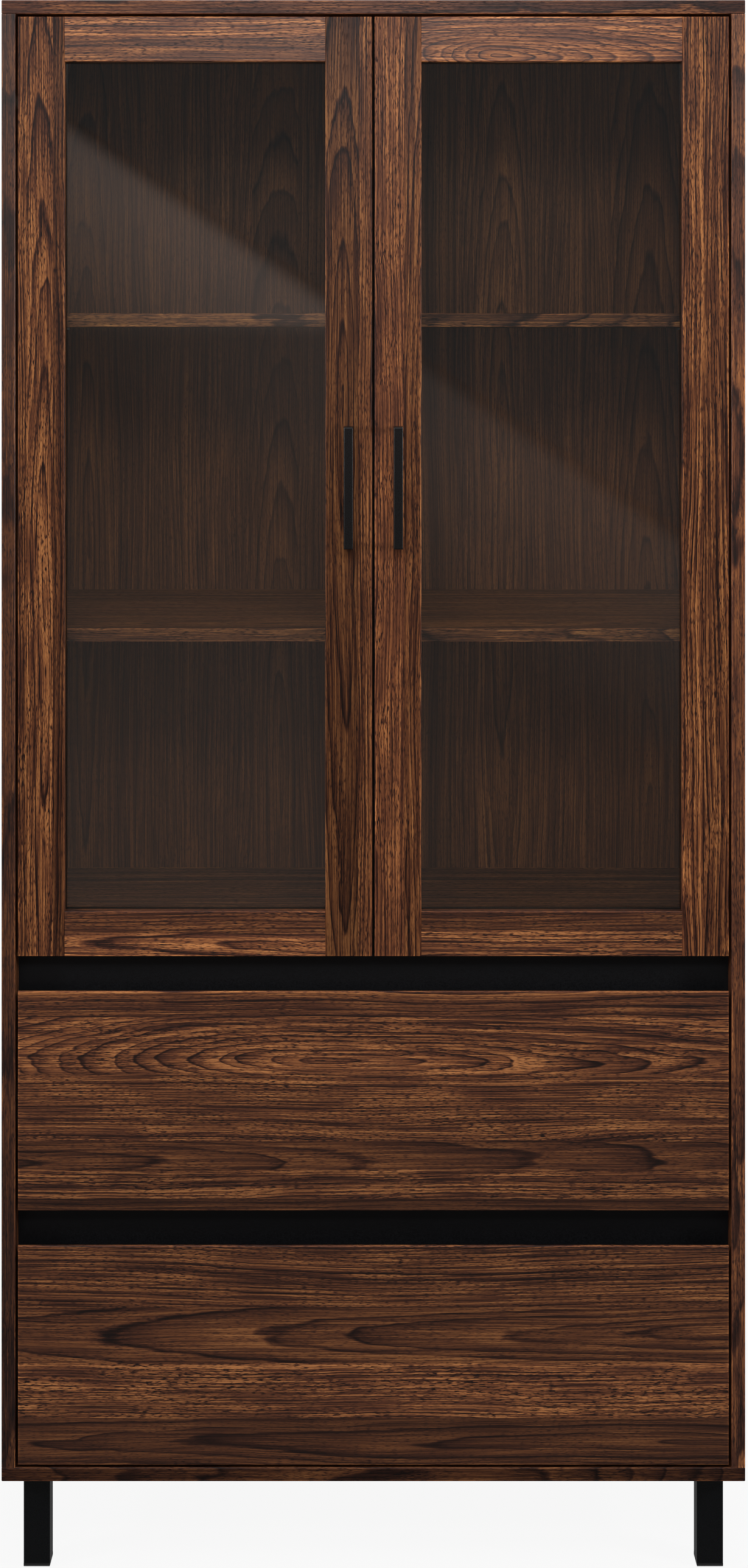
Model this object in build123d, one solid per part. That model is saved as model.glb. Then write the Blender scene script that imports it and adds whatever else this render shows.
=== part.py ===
from build123d import *
import os
from math import atan2, degrees, hypot, sqrt

# A china cabinet on four legs: two framed glass doors over two deep drawers. Millimetres.
# x runs to the right, depth runs back from the front plane of the doors and drawers, z runs up from
# the floor. The right-hand pieces are modelled, and the left-hand ones mirror them.

# Overall size
WIDTH = 813.0
HEIGHT = 1727.0
DEPTH = 400.0

# Boards
BOARD = 15.0                # panels, shelves and rails of the carcass
ARRIS = 0.7                 # chamfer on the edges that show
REVEAL = 3.0                # gap round the doors and the drawer fronts
FIT = 0.15                  # slack of a board in its groove and of a fastener in its hole
BACK_BOARD = 4.0
BACK_INSET = 8.0            # from the carcass's rear edge to the back board
GROOVE_DEPTH = 6.0

# Legs: rectangular steel tube with a top plate and a plastic glide
LEG_HEIGHT = 108.0
LEG_WIDTH = 29.0
LEG_DEPTH = 22.0
LEG_WALL = 1.5
LEG_INSET = 20.0            # from the carcass's side
LEG_SETBACK = 25.0          # from the carcass's front or rear
LEG_PLATE = 3.0
LEG_PLATE_RIM = 13.0        # how far the plate stands out round the tube
LEG_SCREW_EDGE = 6.0        # from the plate's edges to its two screws
GLIDE_HEIGHT = 4.0
GLIDE_PLUG = 14.0           # how far the glide reaches up into the tube

# Doors
DOOR_THICKNESS = 18.0       # the drawer fronts are as thick
STILE = 51.0
DOOR_RAIL = 49.0
TENON_LENGTH = 12.0
TENON_THICKNESS = 5.0
TENON_FRONT = 2.5           # from the door's face to the tenon
TENON_SHOULDER = 9.0
GLASS = 4.0
GLASS_SETBACK = 10.0        # from the door's face to the glass
GLASS_SLACK = 1.0           # between the glass's edge and its rebate
REBATE = 8.0

# Bar handles
HANDLE_PROJECTION = 30.0
HANDLE_LENGTH = 132.0
HANDLE_WIDTH = 10.0
HANDLE_BAR = 6.0            # thickness of the grip and of its two feet
HANDLE_SCREW = 1.75         # radius
HANDLE_SCREW_GRIP = 9.0     # how far the screw enters the foot

# Drawers
DRAWER_FRONT = 239.5        # height
FINGER_GAP = 38.5           # black recess above each drawer front
FINGER_LIP = 3.0            # flat top of a drawer front ahead of its bevelled finger pull
BOX_LIFT = 12.0             # from the drawer front's lower edge to its box
BOX_DROP = 37.5             # from the drawer front's top edge to its box
BOX_BOARD = 12.0
BOX_BACK_GAP = 15.0         # behind the box
BOX_BOTTOM = 5.0
BOX_BOTTOM_LIFT = 10.0
BOX_GROOVE = 5.0

# Finger rails, the black boards at the back of the recesses
RAIL_SETBACK = 22.0
RAIL_OVERLAP = 25.5         # how far a rail reaches down behind the drawer front below it
RAIL_UPSTAND = 8.0          # how far the lower rail reaches up behind the upper drawer front

# Display shelves
DECK_DROP = 3.5             # from the doors' lower edge down to the display floor
LOWER_CLEAR = 341.5         # from the display floor to the lower shelf
MIDDLE_CLEAR = 335.0        # from the lower shelf to the upper shelf
SHELF_SETBACK = 40.0
SHELF_SLACK = 1.0           # at the shelf's ends and back
PIN_RADIUS = 2.5
PIN_DEPTH = 10.0
PIN_SPOON = (9.0, 8.0, 2.5)  # length, breadth and thickness of a pin's tongue
PIN_SETBACK = 45.0          # from the shelf's front and back edges to its pins

# Concealed hinges: a cup in the door, a pin across the cup and a swan-neck arm on the side panel
CUP_EDGE = 5.0              # from the door's hinge edge to the cup
CUP_LAND = 3.0              # from the cup to the glass rebate
CUP_WALL = 0.8
CUP_FRONT = 5.5             # from the door's face to the cup's bottom
CUP_FLANGE = 1.2
CUP_FLANGE_RIM = 1.5
CUP_SCREW_EDGE = 5.0        # from the cup to its screws, above and below it
CUP_SCREW_SHIFT = 6.0       # inwards from the cup's centre
CUP_EAR = 6.5               # radius of the flange's ears
PIVOT_INSET = 17.0          # from the door's hinge edge to the pin
PIVOT_DEPTH = 9.1           # from the door's face to the pin
PIVOT_RADIUS = 1.25
PIVOT_CLEARANCE = 0.06
EYE_RADIUS = 2.6
ARM_GAUGE = 2.0
ARM_HEIGHT = 12.0
ARM_EDGE = 5.0              # from the cup's inner side to the arm's neck
ARM_RISE = 1.0              # from the door's back to the arm's first bend
ARM_NECK = 13.0             # from the door's back to the arm's second bend
ARM_LEAF = 49.0             # length of the leaf on the side panel
ARM_SCREWS = (15.0, 38.0)   # along the leaf
HINGE_END = 90.0            # from the door's ends to its outer hinges

# Telescopic drawer slides, three nested channels
SLIDE_WIDTH = 12.7
SLIDE_HEIGHT = 45.0
SLIDE_GAUGE = 1.2
SLIDE_GAP = 0.35
SLIDE_LIP = 1.6
SLIDE_SETBACK = 4.0         # behind the drawer front

# Fasteners, drawn with a few flats where a true round would only add faces
FLATS = 6                   # screws, bolts, dowels, pegs and their holes
DISC_FLATS = 12             # cam discs and hinge eyes
CUP_FLATS = 16              # hinge cups
SCREW_RADIUS = 1.9
SCREW_HEAD = 3.6
SCREW_HEAD_HEIGHT = 1.8
SCREW_BITE = 11.0           # how far a wood screw enters a board
CAM_RADIUS = 7.5
CAM_FLOOR = 2.5             # of board left under a cam
CAM_SETBACK = 34.0          # from the board's end to the cam's centre
CAM_SLOT = (1.5, 9.0, 1.6)  # depth, length and breadth
BOLT_RADIUS = 3.0
BOLT_HEAD = 3.7
BOLT_BITE = 11.0
BOLT_BORE = 4.0
DOWEL_RADIUS = 4.0
DOWEL_ENDS = (18.0, 10.0)   # length on each side of the joint
CAM_EDGE = 50.0             # from a board's long edges to its cams
RAIL_DOWEL_SHIFT = 15.0     # a rail's two dowels above and below its middle

# Heights that follow from the sizes above
HALF_WIDTH = WIDTH / 2
INNER_X = HALF_WIDTH - BOARD
SIDE_MIDDLE = HALF_WIDTH - BOARD / 2
PANEL_TOP = LEG_HEIGHT + BOARD
CARCASS_TOP = HEIGHT - BOARD
LOWER_FRONT = (PANEL_TOP + REVEAL, PANEL_TOP + REVEAL + DRAWER_FRONT)
UPPER_FRONT = (LOWER_FRONT[1] + FINGER_GAP, LOWER_FRONT[1] + FINGER_GAP + DRAWER_FRONT)
DOOR_Z = (UPPER_FRONT[1] + FINGER_GAP, CARCASS_TOP - REVEAL)
DECK_TOP = DOOR_Z[0] - DECK_DROP
LOWER_SHELF = DECK_TOP + LOWER_CLEAR
UPPER_SHELF = LOWER_SHELF + BOARD + MIDDLE_CLEAR
UPPER_RAIL_Z = (UPPER_FRONT[1] - RAIL_OVERLAP, DECK_TOP)
LOWER_RAIL_Z = (LOWER_FRONT[1] - RAIL_OVERLAP, UPPER_FRONT[0] + RAIL_UPSTAND)
HINGE_HEIGHTS = (
    DOOR_Z[0] + HINGE_END,
    (LOWER_SHELF + BOARD + UPPER_SHELF) / 2,
    DOOR_Z[1] - HINGE_END,
)

# Depths, breadths and fittings that follow
ORIGIN_DEPTH = (DEPTH - HANDLE_PROJECTION) / 2
BACK_FACE = DEPTH - BACK_INSET - BACK_BOARD
RAIL_BACK = RAIL_SETBACK + BOARD
DOOR_EDGE = INNER_X - REVEAL
DOOR_X = (REVEAL / 2, DOOR_EDGE)
SIGHT_X = (DOOR_X[0] + STILE, DOOR_X[1] - STILE)
SIGHT_Z = (DOOR_Z[0] + DOOR_RAIL, DOOR_Z[1] - DOOR_RAIL)
HANDLE_X = DOOR_X[0] + STILE / 2
HANDLE_Z = (DOOR_Z[0] + DOOR_Z[1]) / 2
HANDLE_FEET = [HANDLE_Z + side * (HANDLE_LENGTH - HANDLE_BAR) / 2 for side in (-1, 1)]
CAM_DEPTH = BOARD - CAM_FLOOR
CUP_RADIUS = (STILE - REBATE - CUP_EDGE - CUP_LAND) / 2
CUP_CENTRE = CUP_EDGE + CUP_RADIUS
CUP_SCREW_SPREAD = 2 * (CUP_RADIUS + CUP_SCREW_EDGE)
ARM_REACH = CUP_CENTRE + CUP_RADIUS - ARM_EDGE
BOX_X = INNER_X - SLIDE_WIDTH
BOX_DEPTH = (DOOR_THICKNESS, BACK_FACE - BOX_BACK_GAP)
SLIDE_DEPTH = (DOOR_THICKNESS + SLIDE_SETBACK, BOX_DEPTH[1])


def block(x, depth, z):
    """A block between two places in x, in depth and in z."""
    spans = (x, depth, z)
    middle = [(low + high) / 2 for low, high in spans]
    size = [high - low for low, high in spans]
    return Pos(middle[0], middle[1] - ORIGIN_DEPTH, middle[2]) * Box(*size)


def bar(radius, length, flats):
    """A bar along z about the origin, with this many flats, or round for none."""
    if flats == 0:
        return Cylinder(radius, length)
    return extrude(RegularPolygon(radius, flats), length / 2, both=True)


def rod(x, depth, z, radius, flats=FLATS):
    """A bar along the one of x, depth and z that is given as a pair."""
    spans = [place if isinstance(place, tuple) else (place, place) for place in (x, depth, z)]
    middle = [(low + high) / 2 for low, high in spans]
    lengths = [abs(high - low) for low, high in spans]
    along = lengths.index(max(lengths))
    turn = (Rot(0, 90, 0), Rot(90, 0, 0), Rot(0, 0, 0))[along]
    return Pos(middle[0], middle[1] - ORIGIN_DEPTH, middle[2]) * turn * bar(radius, lengths[along], flats)


def grown(pair, slack):
    """A pair of places moved apart by a slack at each end."""
    return (pair[0] - slack, pair[1] + slack)


def mirrored(shapes):
    """The left-hand copies of right-hand shapes."""
    return [mirror(shape, about=Plane.YZ) for shape in shapes]


def both(shapes):
    """Right-hand shapes and their left-hand copies."""
    return list(shapes) + mirrored(shapes)


def front_edges(shape):
    """The edges round a board's front face."""
    return shape.edges().group_by(Axis.Y)[0]


def wood_screw(x, depth, z, slack=0.0):
    """A pan-head screw along the pair, from its head's seat to its point. Slack makes it a hole instead."""
    shank = rod(x, depth, z, SCREW_RADIUS + slack)
    if slack:
        return shank
    seats = []
    for place in (x, depth, z):
        if isinstance(place, tuple):
            step = SCREW_HEAD_HEIGHT if place[1] < place[0] else -SCREW_HEAD_HEIGHT
            seats.append((place[0], place[0] + step))
        else:
            seats.append(place)
    return shank + rod(*seats, SCREW_HEAD)


# Knock-down joints. In a joint's own frame, z points into the board that takes the thread, x is the
# way that the cam's face looks, and the origin is in the middle of the other board's end.

def joint_frame(x, depth, z, thread_way, cam_way):
    origin = (x, depth - ORIGIN_DEPTH, z)
    return Plane(origin=origin, x_dir=cam_way, z_dir=thread_way).location


def along_z(low, high, radius):
    return Pos(0, 0, (low + high) / 2) * bar(radius, high - low, FLATS)


def cam_body(radius, depth):
    middle = Pos(BOARD / 2 - depth / 2, 0, -CAM_SETBACK)
    return middle * Rot(0, 90, 0) * bar(radius, depth, DISC_FLATS)


def cam_lock(frame):
    """The turned disc that draws the bolt in, with its screwdriver slot."""
    slot = Pos(BOARD / 2 - CAM_SLOT[0] / 2, 0, -CAM_SETBACK) * Box(*CAM_SLOT)
    throat = along_z(-CAM_SETBACK - BOLT_BORE, -CAM_SETBACK + 2 * CAM_RADIUS, BOLT_BORE)
    return frame * (cam_body(CAM_RADIUS, CAM_DEPTH) - throat - slot)


def cam_bolt(frame):
    """A stud with its thread in one board and its head in the cam."""
    head = along_z(-CAM_SETBACK - BOLT_HEAD / 2, -CAM_SETBACK + BOLT_HEAD / 2, BOLT_HEAD)
    return frame * (along_z(-CAM_SETBACK, BOLT_BITE, BOLT_RADIUS) + head)


def cam_hole(frame):
    bore = along_z(-CAM_SETBACK, BOARD, BOLT_BORE)
    return frame * (cam_body(CAM_RADIUS + FIT, CAM_DEPTH + FIT) + bore)


def bolt_hole(frame):
    return frame * along_z(-FIT, BOLT_BITE + FIT, BOLT_RADIUS + FIT)


def dowel(frame, slack=0.0):
    return frame * along_z(-DOWEL_ENDS[0] - slack, DOWEL_ENDS[1] + slack, DOWEL_RADIUS + slack)


UP, DOWN, OUT, IN, BACK = (0, 0, 1), (0, 0, -1), (1, 0, 0), (-1, 0, 0), (0, 1, 0)
CAM_DEPTHS = (CAM_EDGE, BACK_FACE - CAM_EDGE)
DECK_CAM_DEPTHS = (RAIL_BACK + CAM_EDGE, BACK_FACE - CAM_EDGE)
DECK_MIDDLE = DECK_TOP - BOARD / 2
RAIL_MIDDLE = RAIL_SETBACK + BOARD / 2

top_cams = [joint_frame(SIDE_MIDDLE, depth, CARCASS_TOP, UP, IN) for depth in CAM_DEPTHS]
foot_cams = [joint_frame(SIDE_MIDDLE, depth, PANEL_TOP, DOWN, IN) for depth in CAM_DEPTHS]
deck_cams = [joint_frame(INNER_X, depth, DECK_MIDDLE, OUT, DOWN) for depth in DECK_CAM_DEPTHS]
top_dowel = joint_frame(SIDE_MIDDLE, sum(CAM_DEPTHS) / 2, CARCASS_TOP, UP, IN)
foot_dowel = joint_frame(SIDE_MIDDLE, sum(CAM_DEPTHS) / 2, PANEL_TOP, DOWN, IN)
deck_dowel = joint_frame(INNER_X, sum(DECK_CAM_DEPTHS) / 2, DECK_MIDDLE, OUT, DOWN)
rail_dowels = [
    joint_frame(INNER_X, RAIL_MIDDLE, sum(rail_z) / 2 + shift, OUT, BACK)
    for rail_z in (UPPER_RAIL_Z, LOWER_RAIL_Z)
    for shift in (-RAIL_DOWEL_SHIFT, RAIL_DOWEL_SHIFT)
]
all_cams = top_cams + foot_cams + deck_cams
all_dowels = [top_dowel, foot_dowel, deck_dowel] + rail_dowels

nodes = {}
nodes["cam_locks"] = both([cam_lock(frame) for frame in all_cams])
nodes["cam_bolts"] = both([cam_bolt(frame) for frame in all_cams])
nodes["wood_dowels"] = both([dowel(frame) for frame in all_dowels])

# Legs, from the front right one

LEG_CENTRE_X = HALF_WIDTH - LEG_INSET - LEG_WIDTH / 2
LEG_CENTRES = {"front": LEG_SETBACK + LEG_DEPTH / 2, "rear": DEPTH - LEG_SETBACK - LEG_DEPTH / 2}
PLATE_UNDER = LEG_HEIGHT - LEG_PLATE


def about(middle, size):
    """The pair of places that lie evenly about a middle."""
    return (middle - size / 2, middle + size / 2)


def leg(depth):
    """A tube with its welded top plate, drilled for two screws."""
    x_span, depth_span = about(LEG_CENTRE_X, LEG_WIDTH), about(depth, LEG_DEPTH)
    tube = block(x_span, depth_span, (GLIDE_HEIGHT, PLATE_UNDER))
    upright = tube.edges().filter_by(Axis.Z)
    hollow = block(grown(x_span, -LEG_WALL), grown(depth_span, -LEG_WALL), (GLIDE_HEIGHT, PLATE_UNDER))
    plate_span = (grown(x_span, LEG_PLATE_RIM), grown(depth_span, LEG_PLATE_RIM))
    plate = block(*plate_span, (PLATE_UNDER, LEG_HEIGHT))
    holes = [wood_screw(x, at, (PLATE_UNDER, LEG_HEIGHT), FIT) for x, at in leg_screw_places(depth)]
    return chamfer(upright, ARRIS) - hollow + plate - holes


def leg_screw_places(depth):
    reach_x = LEG_WIDTH / 2 + LEG_PLATE_RIM - LEG_SCREW_EDGE
    reach_depth = LEG_DEPTH / 2 + LEG_PLATE_RIM - LEG_SCREW_EDGE
    return [(LEG_CENTRE_X + end * reach_x, depth + end * reach_depth) for end in (-1, 1)]


def leg_glide(depth):
    """A plastic foot: a pad under the tube and a plug inside it."""
    x_span, depth_span = about(LEG_CENTRE_X, LEG_WIDTH), about(depth, LEG_DEPTH)
    pad = block(x_span, depth_span, (0, GLIDE_HEIGHT))
    eased = chamfer(pad.edges().group_by(Axis.Z)[0], ARRIS)
    inside = -LEG_WALL - FIT
    plug_z = (GLIDE_HEIGHT, GLIDE_HEIGHT + GLIDE_PLUG)
    return eased + block(grown(x_span, inside), grown(depth_span, inside), plug_z)


leg_screw_runs = []
for row, depth in LEG_CENTRES.items():
    nodes[f"{row}_right_leg"] = [leg(depth)]
    nodes[f"{row}_left_leg"] = mirrored(nodes[f"{row}_right_leg"])
    leg_screw_runs += leg_screw_places(depth)
LEG_SCREW_Z = (PLATE_UNDER, LEG_HEIGHT + SCREW_BITE)
nodes["leg_glides"] = both([leg_glide(depth) for depth in LEG_CENTRES.values()])
nodes["leg_screws"] = both([wood_screw(x, at, LEG_SCREW_Z) for x, at in leg_screw_runs])
leg_screw_holes = both([wood_screw(x, at, LEG_SCREW_Z, FIT) for x, at in leg_screw_runs])

# Hinge arms, in plan: x and depth of the pivot and of the arm's bends

HINGE_PIVOT = (DOOR_EDGE - PIVOT_INSET, PIVOT_DEPTH)
LEAF_X = INNER_X - ARM_GAUGE / 2
ARM_BENDS = [
    HINGE_PIVOT,
    (DOOR_EDGE - ARM_REACH, DOOR_THICKNESS + ARM_RISE),
    (DOOR_EDGE - ARM_REACH, DOOR_THICKNESS + ARM_NECK),
    (LEAF_X, DOOR_THICKNESS + ARM_NECK),
    (LEAF_X, DOOR_THICKNESS + ARM_NECK + ARM_LEAF),
]
ARM_SCREW_X = (INNER_X - ARM_GAUGE, INNER_X + SCREW_BITE)
ARM_SCREW_DEPTHS = [DOOR_THICKNESS + ARM_NECK + along for along in ARM_SCREWS]


def in_plan(point):
    return Pos(point[0], point[1] - ORIGIN_DEPTH)


def strip(start, end):
    """A length of bent metal strip in plan, which meets the next one squarely."""
    step = (end[0] - start[0], end[1] - start[1])
    middle = ((start[0] + end[0]) / 2, (start[1] + end[1]) / 2)
    angle = degrees(atan2(step[1], step[0]))
    return in_plan(middle) * Rectangle(hypot(*step) + ARM_GAUGE, ARM_GAUGE, angle)


def hinge_arm(z):
    """A swan-neck arm: an eye on the pin, a neck out of the cup and a leaf on the side panel."""
    plan = in_plan(HINGE_PIVOT) * RegularPolygon(EYE_RADIUS, DISC_FLATS)
    for start, end in zip(ARM_BENDS, ARM_BENDS[1:]):
        plan += strip(start, end)
    plan -= in_plan(HINGE_PIVOT) * Circle(PIVOT_RADIUS + PIVOT_CLEARANCE)
    arm = Pos(0, 0, z - ARM_HEIGHT / 2) * extrude(plan, ARM_HEIGHT)
    return arm - [wood_screw(ARM_SCREW_X, depth, z, FIT) for depth in ARM_SCREW_DEPTHS]


arm_screw_places = [(depth, z) for z in HINGE_HEIGHTS for depth in ARM_SCREW_DEPTHS]
arm_screw_holes = [wood_screw(ARM_SCREW_X, depth, z, FIT) for depth, z in arm_screw_places]
nodes["hinge_arm_screws"] = both([wood_screw(ARM_SCREW_X, depth, z) for depth, z in arm_screw_places])
nodes["right_hinge_arms"] = [hinge_arm(z) for z in HINGE_HEIGHTS]
nodes["left_hinge_arms"] = mirrored(nodes["right_hinge_arms"])

# Shelves and their pins

SHELF_DEPTH = (SHELF_SETBACK, BACK_FACE - SHELF_SLACK)
SHELF_HEIGHTS = {"lower_shelf": LOWER_SHELF, "upper_shelf": UPPER_SHELF}
PIN_DEPTHS = (SHELF_DEPTH[0] + PIN_SETBACK, SHELF_DEPTH[1] - PIN_SETBACK)


def shelf_pin(depth, z):
    """A spoon pin: a round peg in the side panel and a flat tongue under the shelf."""
    peg = rod((INNER_X, INNER_X + PIN_DEPTH), depth, z - PIN_RADIUS, PIN_RADIUS)
    tongue = block((INNER_X - PIN_SPOON[0], INNER_X), about(depth, PIN_SPOON[1]), (z - PIN_SPOON[2], z))
    return peg + tongue


pin_places = [(depth, z) for z in SHELF_HEIGHTS.values() for depth in PIN_DEPTHS]
nodes["shelf_pins"] = both([shelf_pin(depth, z) for depth, z in pin_places])
PIN_HOLE_X = (INNER_X, INNER_X + PIN_DEPTH + FIT)
pin_holes = [rod(PIN_HOLE_X, depth, z - PIN_RADIUS, PIN_RADIUS + FIT) for depth, z in pin_places]
shelf_x = (SHELF_SLACK - INNER_X, INNER_X - SHELF_SLACK)
for name, z in SHELF_HEIGHTS.items():
    shelf = block(shelf_x, SHELF_DEPTH, (z, z + BOARD))
    nodes[name] = [chamfer(front_edges(shelf), ARRIS)]

# Carcass boards

GROOVE_X = (-INNER_X - GROOVE_DEPTH, INNER_X + GROOVE_DEPTH)
GROOVE_Z = (PANEL_TOP - GROOVE_DEPTH, CARCASS_TOP + GROOVE_DEPTH)
BACK_DEPTH = (BACK_FACE, BACK_FACE + BACK_BOARD)
back_groove = block(GROOVE_X, grown(BACK_DEPTH, FIT), GROOVE_Z)
nodes["back_panel"] = [block(grown(GROOVE_X, -FIT), BACK_DEPTH, grown(GROOVE_Z, -FIT))]


def end_panel(z, joints, joint_dowel):
    """The top or bottom panel, drilled for the side panels' bolts and dowels."""
    panel = block((-HALF_WIDTH, HALF_WIDTH), (0, DEPTH), z)
    eased = chamfer(panel.edges(), ARRIS)
    holes = [bolt_hole(frame) for frame in joints] + [dowel(joint_dowel, FIT)]
    return eased - back_groove - both(holes)


def side_panel():
    """The right side panel, drilled for everything that it carries."""
    panel = block((INNER_X, HALF_WIDTH), (0, DEPTH), (PANEL_TOP, CARCASS_TOP))
    eased = chamfer(panel.edges().filter_by(Axis.Z), ARRIS)
    holes = [cam_hole(frame) for frame in top_cams + foot_cams]
    holes += [bolt_hole(frame) for frame in deck_cams]
    holes += [dowel(frame, FIT) for frame in all_dowels]
    return eased - back_groove - holes - pin_holes - arm_screw_holes


def finger_rail(z):
    rail = block((-INNER_X, INNER_X), (RAIL_SETBACK, RAIL_BACK), z)
    return rail - both([dowel(frame, FIT) for frame in rail_dowels])


deck = block((-INNER_X, INNER_X), (RAIL_BACK, BACK_FACE), (DECK_TOP - BOARD, DECK_TOP))
deck_holes = [cam_hole(frame) for frame in deck_cams] + [dowel(deck_dowel, FIT)]
nodes["display_floor"] = [deck - both(deck_holes)]
nodes["top_panel"] = [end_panel((CARCASS_TOP, HEIGHT), top_cams, top_dowel)]
nodes["bottom_panel"] = [end_panel((LEG_HEIGHT, PANEL_TOP), foot_cams, foot_dowel) - leg_screw_holes]
nodes["right_side_panel"] = [side_panel()]
nodes["left_side_panel"] = mirrored(nodes["right_side_panel"])
nodes["upper_finger_rail"] = [finger_rail(UPPER_RAIL_Z)]
nodes["lower_finger_rail"] = [finger_rail(LOWER_RAIL_Z)]

# Right door

DOOR_DEPTH = (0, DOOR_THICKNESS)
REBATE_DEPTH = (GLASS_SETBACK, DOOR_THICKNESS)
REBATE_X = grown(SIGHT_X, REBATE)
REBATE_Z = grown(SIGHT_Z, REBATE)
TENON_DEPTH = (TENON_FRONT, TENON_FRONT + TENON_THICKNESS)
TENON_X = grown(SIGHT_X, TENON_LENGTH)
RAIL_SPANS = {"top": (SIGHT_Z[1], DOOR_Z[1]), "bottom": (DOOR_Z[0], SIGHT_Z[0])}
CUP_X = DOOR_EDGE - CUP_CENTRE
CUP_BACK = DOOR_THICKNESS + CUP_FLANGE
CUP_SCREW_X = CUP_X - CUP_SCREW_SHIFT
CUP_SCREW_DEPTH = (CUP_BACK, CUP_BACK - SCREW_BITE)
rebate = block(REBATE_X, REBATE_DEPTH, REBATE_Z)
mortises = [
    block(grown(TENON_X, FIT), grown(TENON_DEPTH, FIT), grown(span, FIT - TENON_SHOULDER))
    for span in RAIL_SPANS.values()
]
cup_screw_places = [about(z, CUP_SCREW_SPREAD)[end] for z in HINGE_HEIGHTS for end in (0, 1)]
handle_screw_depth = (DOOR_THICKNESS, -HANDLE_SCREW_GRIP)


def stile(x):
    upright = block(x, DOOR_DEPTH, DOOR_Z)
    return chamfer(front_edges(upright), ARRIS) - rebate - mortises


def door_rail(z):
    """A rail with a stub tenon at each end."""
    board = block(SIGHT_X, DOOR_DEPTH, z)
    long_edges = front_edges(board).filter_by(Axis.X)
    tenon = block(TENON_X, TENON_DEPTH, grown(z, -TENON_SHOULDER))
    return chamfer(long_edges, ARRIS) - rebate + tenon


def hinge_cup(z):
    """A pressed steel cup with an eared flange on the door's back."""
    shell = rod(CUP_X, (CUP_FRONT, CUP_BACK), z, CUP_RADIUS, CUP_FLATS)
    flange = rod(CUP_X, (DOOR_THICKNESS, CUP_BACK), z, CUP_RADIUS + CUP_FLANGE_RIM, CUP_FLATS)
    web = block(about(CUP_SCREW_X, 2 * CUP_EAR), (DOOR_THICKNESS, CUP_BACK), about(z, CUP_SCREW_SPREAD))
    cup = shell + flange + web
    for screw_z in about(z, CUP_SCREW_SPREAD):
        cup += rod(CUP_SCREW_X, (DOOR_THICKNESS, CUP_BACK), screw_z, CUP_EAR)
    cup -= rod(CUP_X, (CUP_FRONT + CUP_WALL, CUP_BACK), z, CUP_RADIUS - CUP_WALL, CUP_FLATS)
    cup -= rod(*HINGE_PIVOT, about(z, 2 * CUP_RADIUS), PIVOT_RADIUS + FIT, DISC_FLATS)
    return cup - [wood_screw(CUP_SCREW_X, CUP_SCREW_DEPTH, at, FIT) for at in about(z, CUP_SCREW_SPREAD)]


def hinge_pin(z):
    """A round pin across the cup, with its ends in the cup's wall."""
    half_chord = sqrt((CUP_RADIUS - CUP_WALL) ** 2 - (CUP_CENTRE - PIVOT_INSET) ** 2)
    return rod(*HINGE_PIVOT, about(z, 2 * half_chord), PIVOT_RADIUS, 0)


def handle():
    """A square-cornered bar on two feet."""
    x_span, z_span = about(HANDLE_X, HANDLE_WIDTH), about(HANDLE_Z, HANDLE_LENGTH)
    outline = block(x_span, (-HANDLE_PROJECTION, 0), z_span)
    gap = block(x_span, (HANDLE_BAR - HANDLE_PROJECTION, 0), grown(z_span, -HANDLE_BAR))
    holes = [rod(HANDLE_X, (-HANDLE_SCREW_GRIP - FIT, 0), z, HANDLE_SCREW + FIT) for z in HANDLE_FEET]
    return chamfer(front_edges(outline), ARRIS) - gap - holes


def handle_screw(z):
    head = rod(HANDLE_X, (DOOR_THICKNESS, DOOR_THICKNESS + SCREW_HEAD_HEIGHT), z, SCREW_HEAD)
    return rod(HANDLE_X, handle_screw_depth, z, HANDLE_SCREW) + head


def glass_beads():
    """Four strips that hold the glass in its rebate: two uprights and two between them."""
    depth = (GLASS_SETBACK + GLASS, DOOR_THICKNESS)
    uprights = [(REBATE_X[0], SIGHT_X[0]), (SIGHT_X[1], REBATE_X[1])]
    crossbars = [(REBATE_Z[0], SIGHT_Z[0]), (SIGHT_Z[1], REBATE_Z[1])]
    return [block(x, depth, REBATE_Z) for x in uprights] + [block(SIGHT_X, depth, z) for z in crossbars]


CUP_BORE_DEPTH = (CUP_FRONT - FIT, DOOR_THICKNESS)
cup_bores = [rod(CUP_X, CUP_BORE_DEPTH, z, CUP_RADIUS + FIT, CUP_FLATS) for z in HINGE_HEIGHTS]
cup_screw_holes = [wood_screw(CUP_SCREW_X, CUP_SCREW_DEPTH, z, FIT) for z in cup_screw_places]
handle_holes = [rod(HANDLE_X, DOOR_DEPTH, z, HANDLE_SCREW + FIT) for z in HANDLE_FEET]
glass_x, glass_z = grown(REBATE_X, -GLASS_SLACK), grown(REBATE_Z, -GLASS_SLACK)

door = {}
door["hinge_stile"] = [stile((SIGHT_X[1], DOOR_X[1])) - cup_bores - cup_screw_holes]
door["meeting_stile"] = [stile((DOOR_X[0], SIGHT_X[0])) - handle_holes]
door["top_rail"] = [door_rail(RAIL_SPANS["top"])]
door["bottom_rail"] = [door_rail(RAIL_SPANS["bottom"])]
door["glass"] = [block(glass_x, (GLASS_SETBACK, GLASS_SETBACK + GLASS), glass_z)]
door["glass_beads"] = glass_beads()
door["hinge_cups"] = [hinge_cup(z) for z in HINGE_HEIGHTS]
door["hinge_pins"] = [hinge_pin(z) for z in HINGE_HEIGHTS]
door["cup_screws"] = [wood_screw(CUP_SCREW_X, CUP_SCREW_DEPTH, z) for z in cup_screw_places]
door["handle"] = [handle()]
door["handle_screws"] = [handle_screw(z) for z in HANDLE_FEET]
for name, shapes in door.items():
    nodes[f"right_{name}"] = shapes
    nodes[f"left_{name}"] = mirrored(shapes)

# Drawers and their slides

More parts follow.
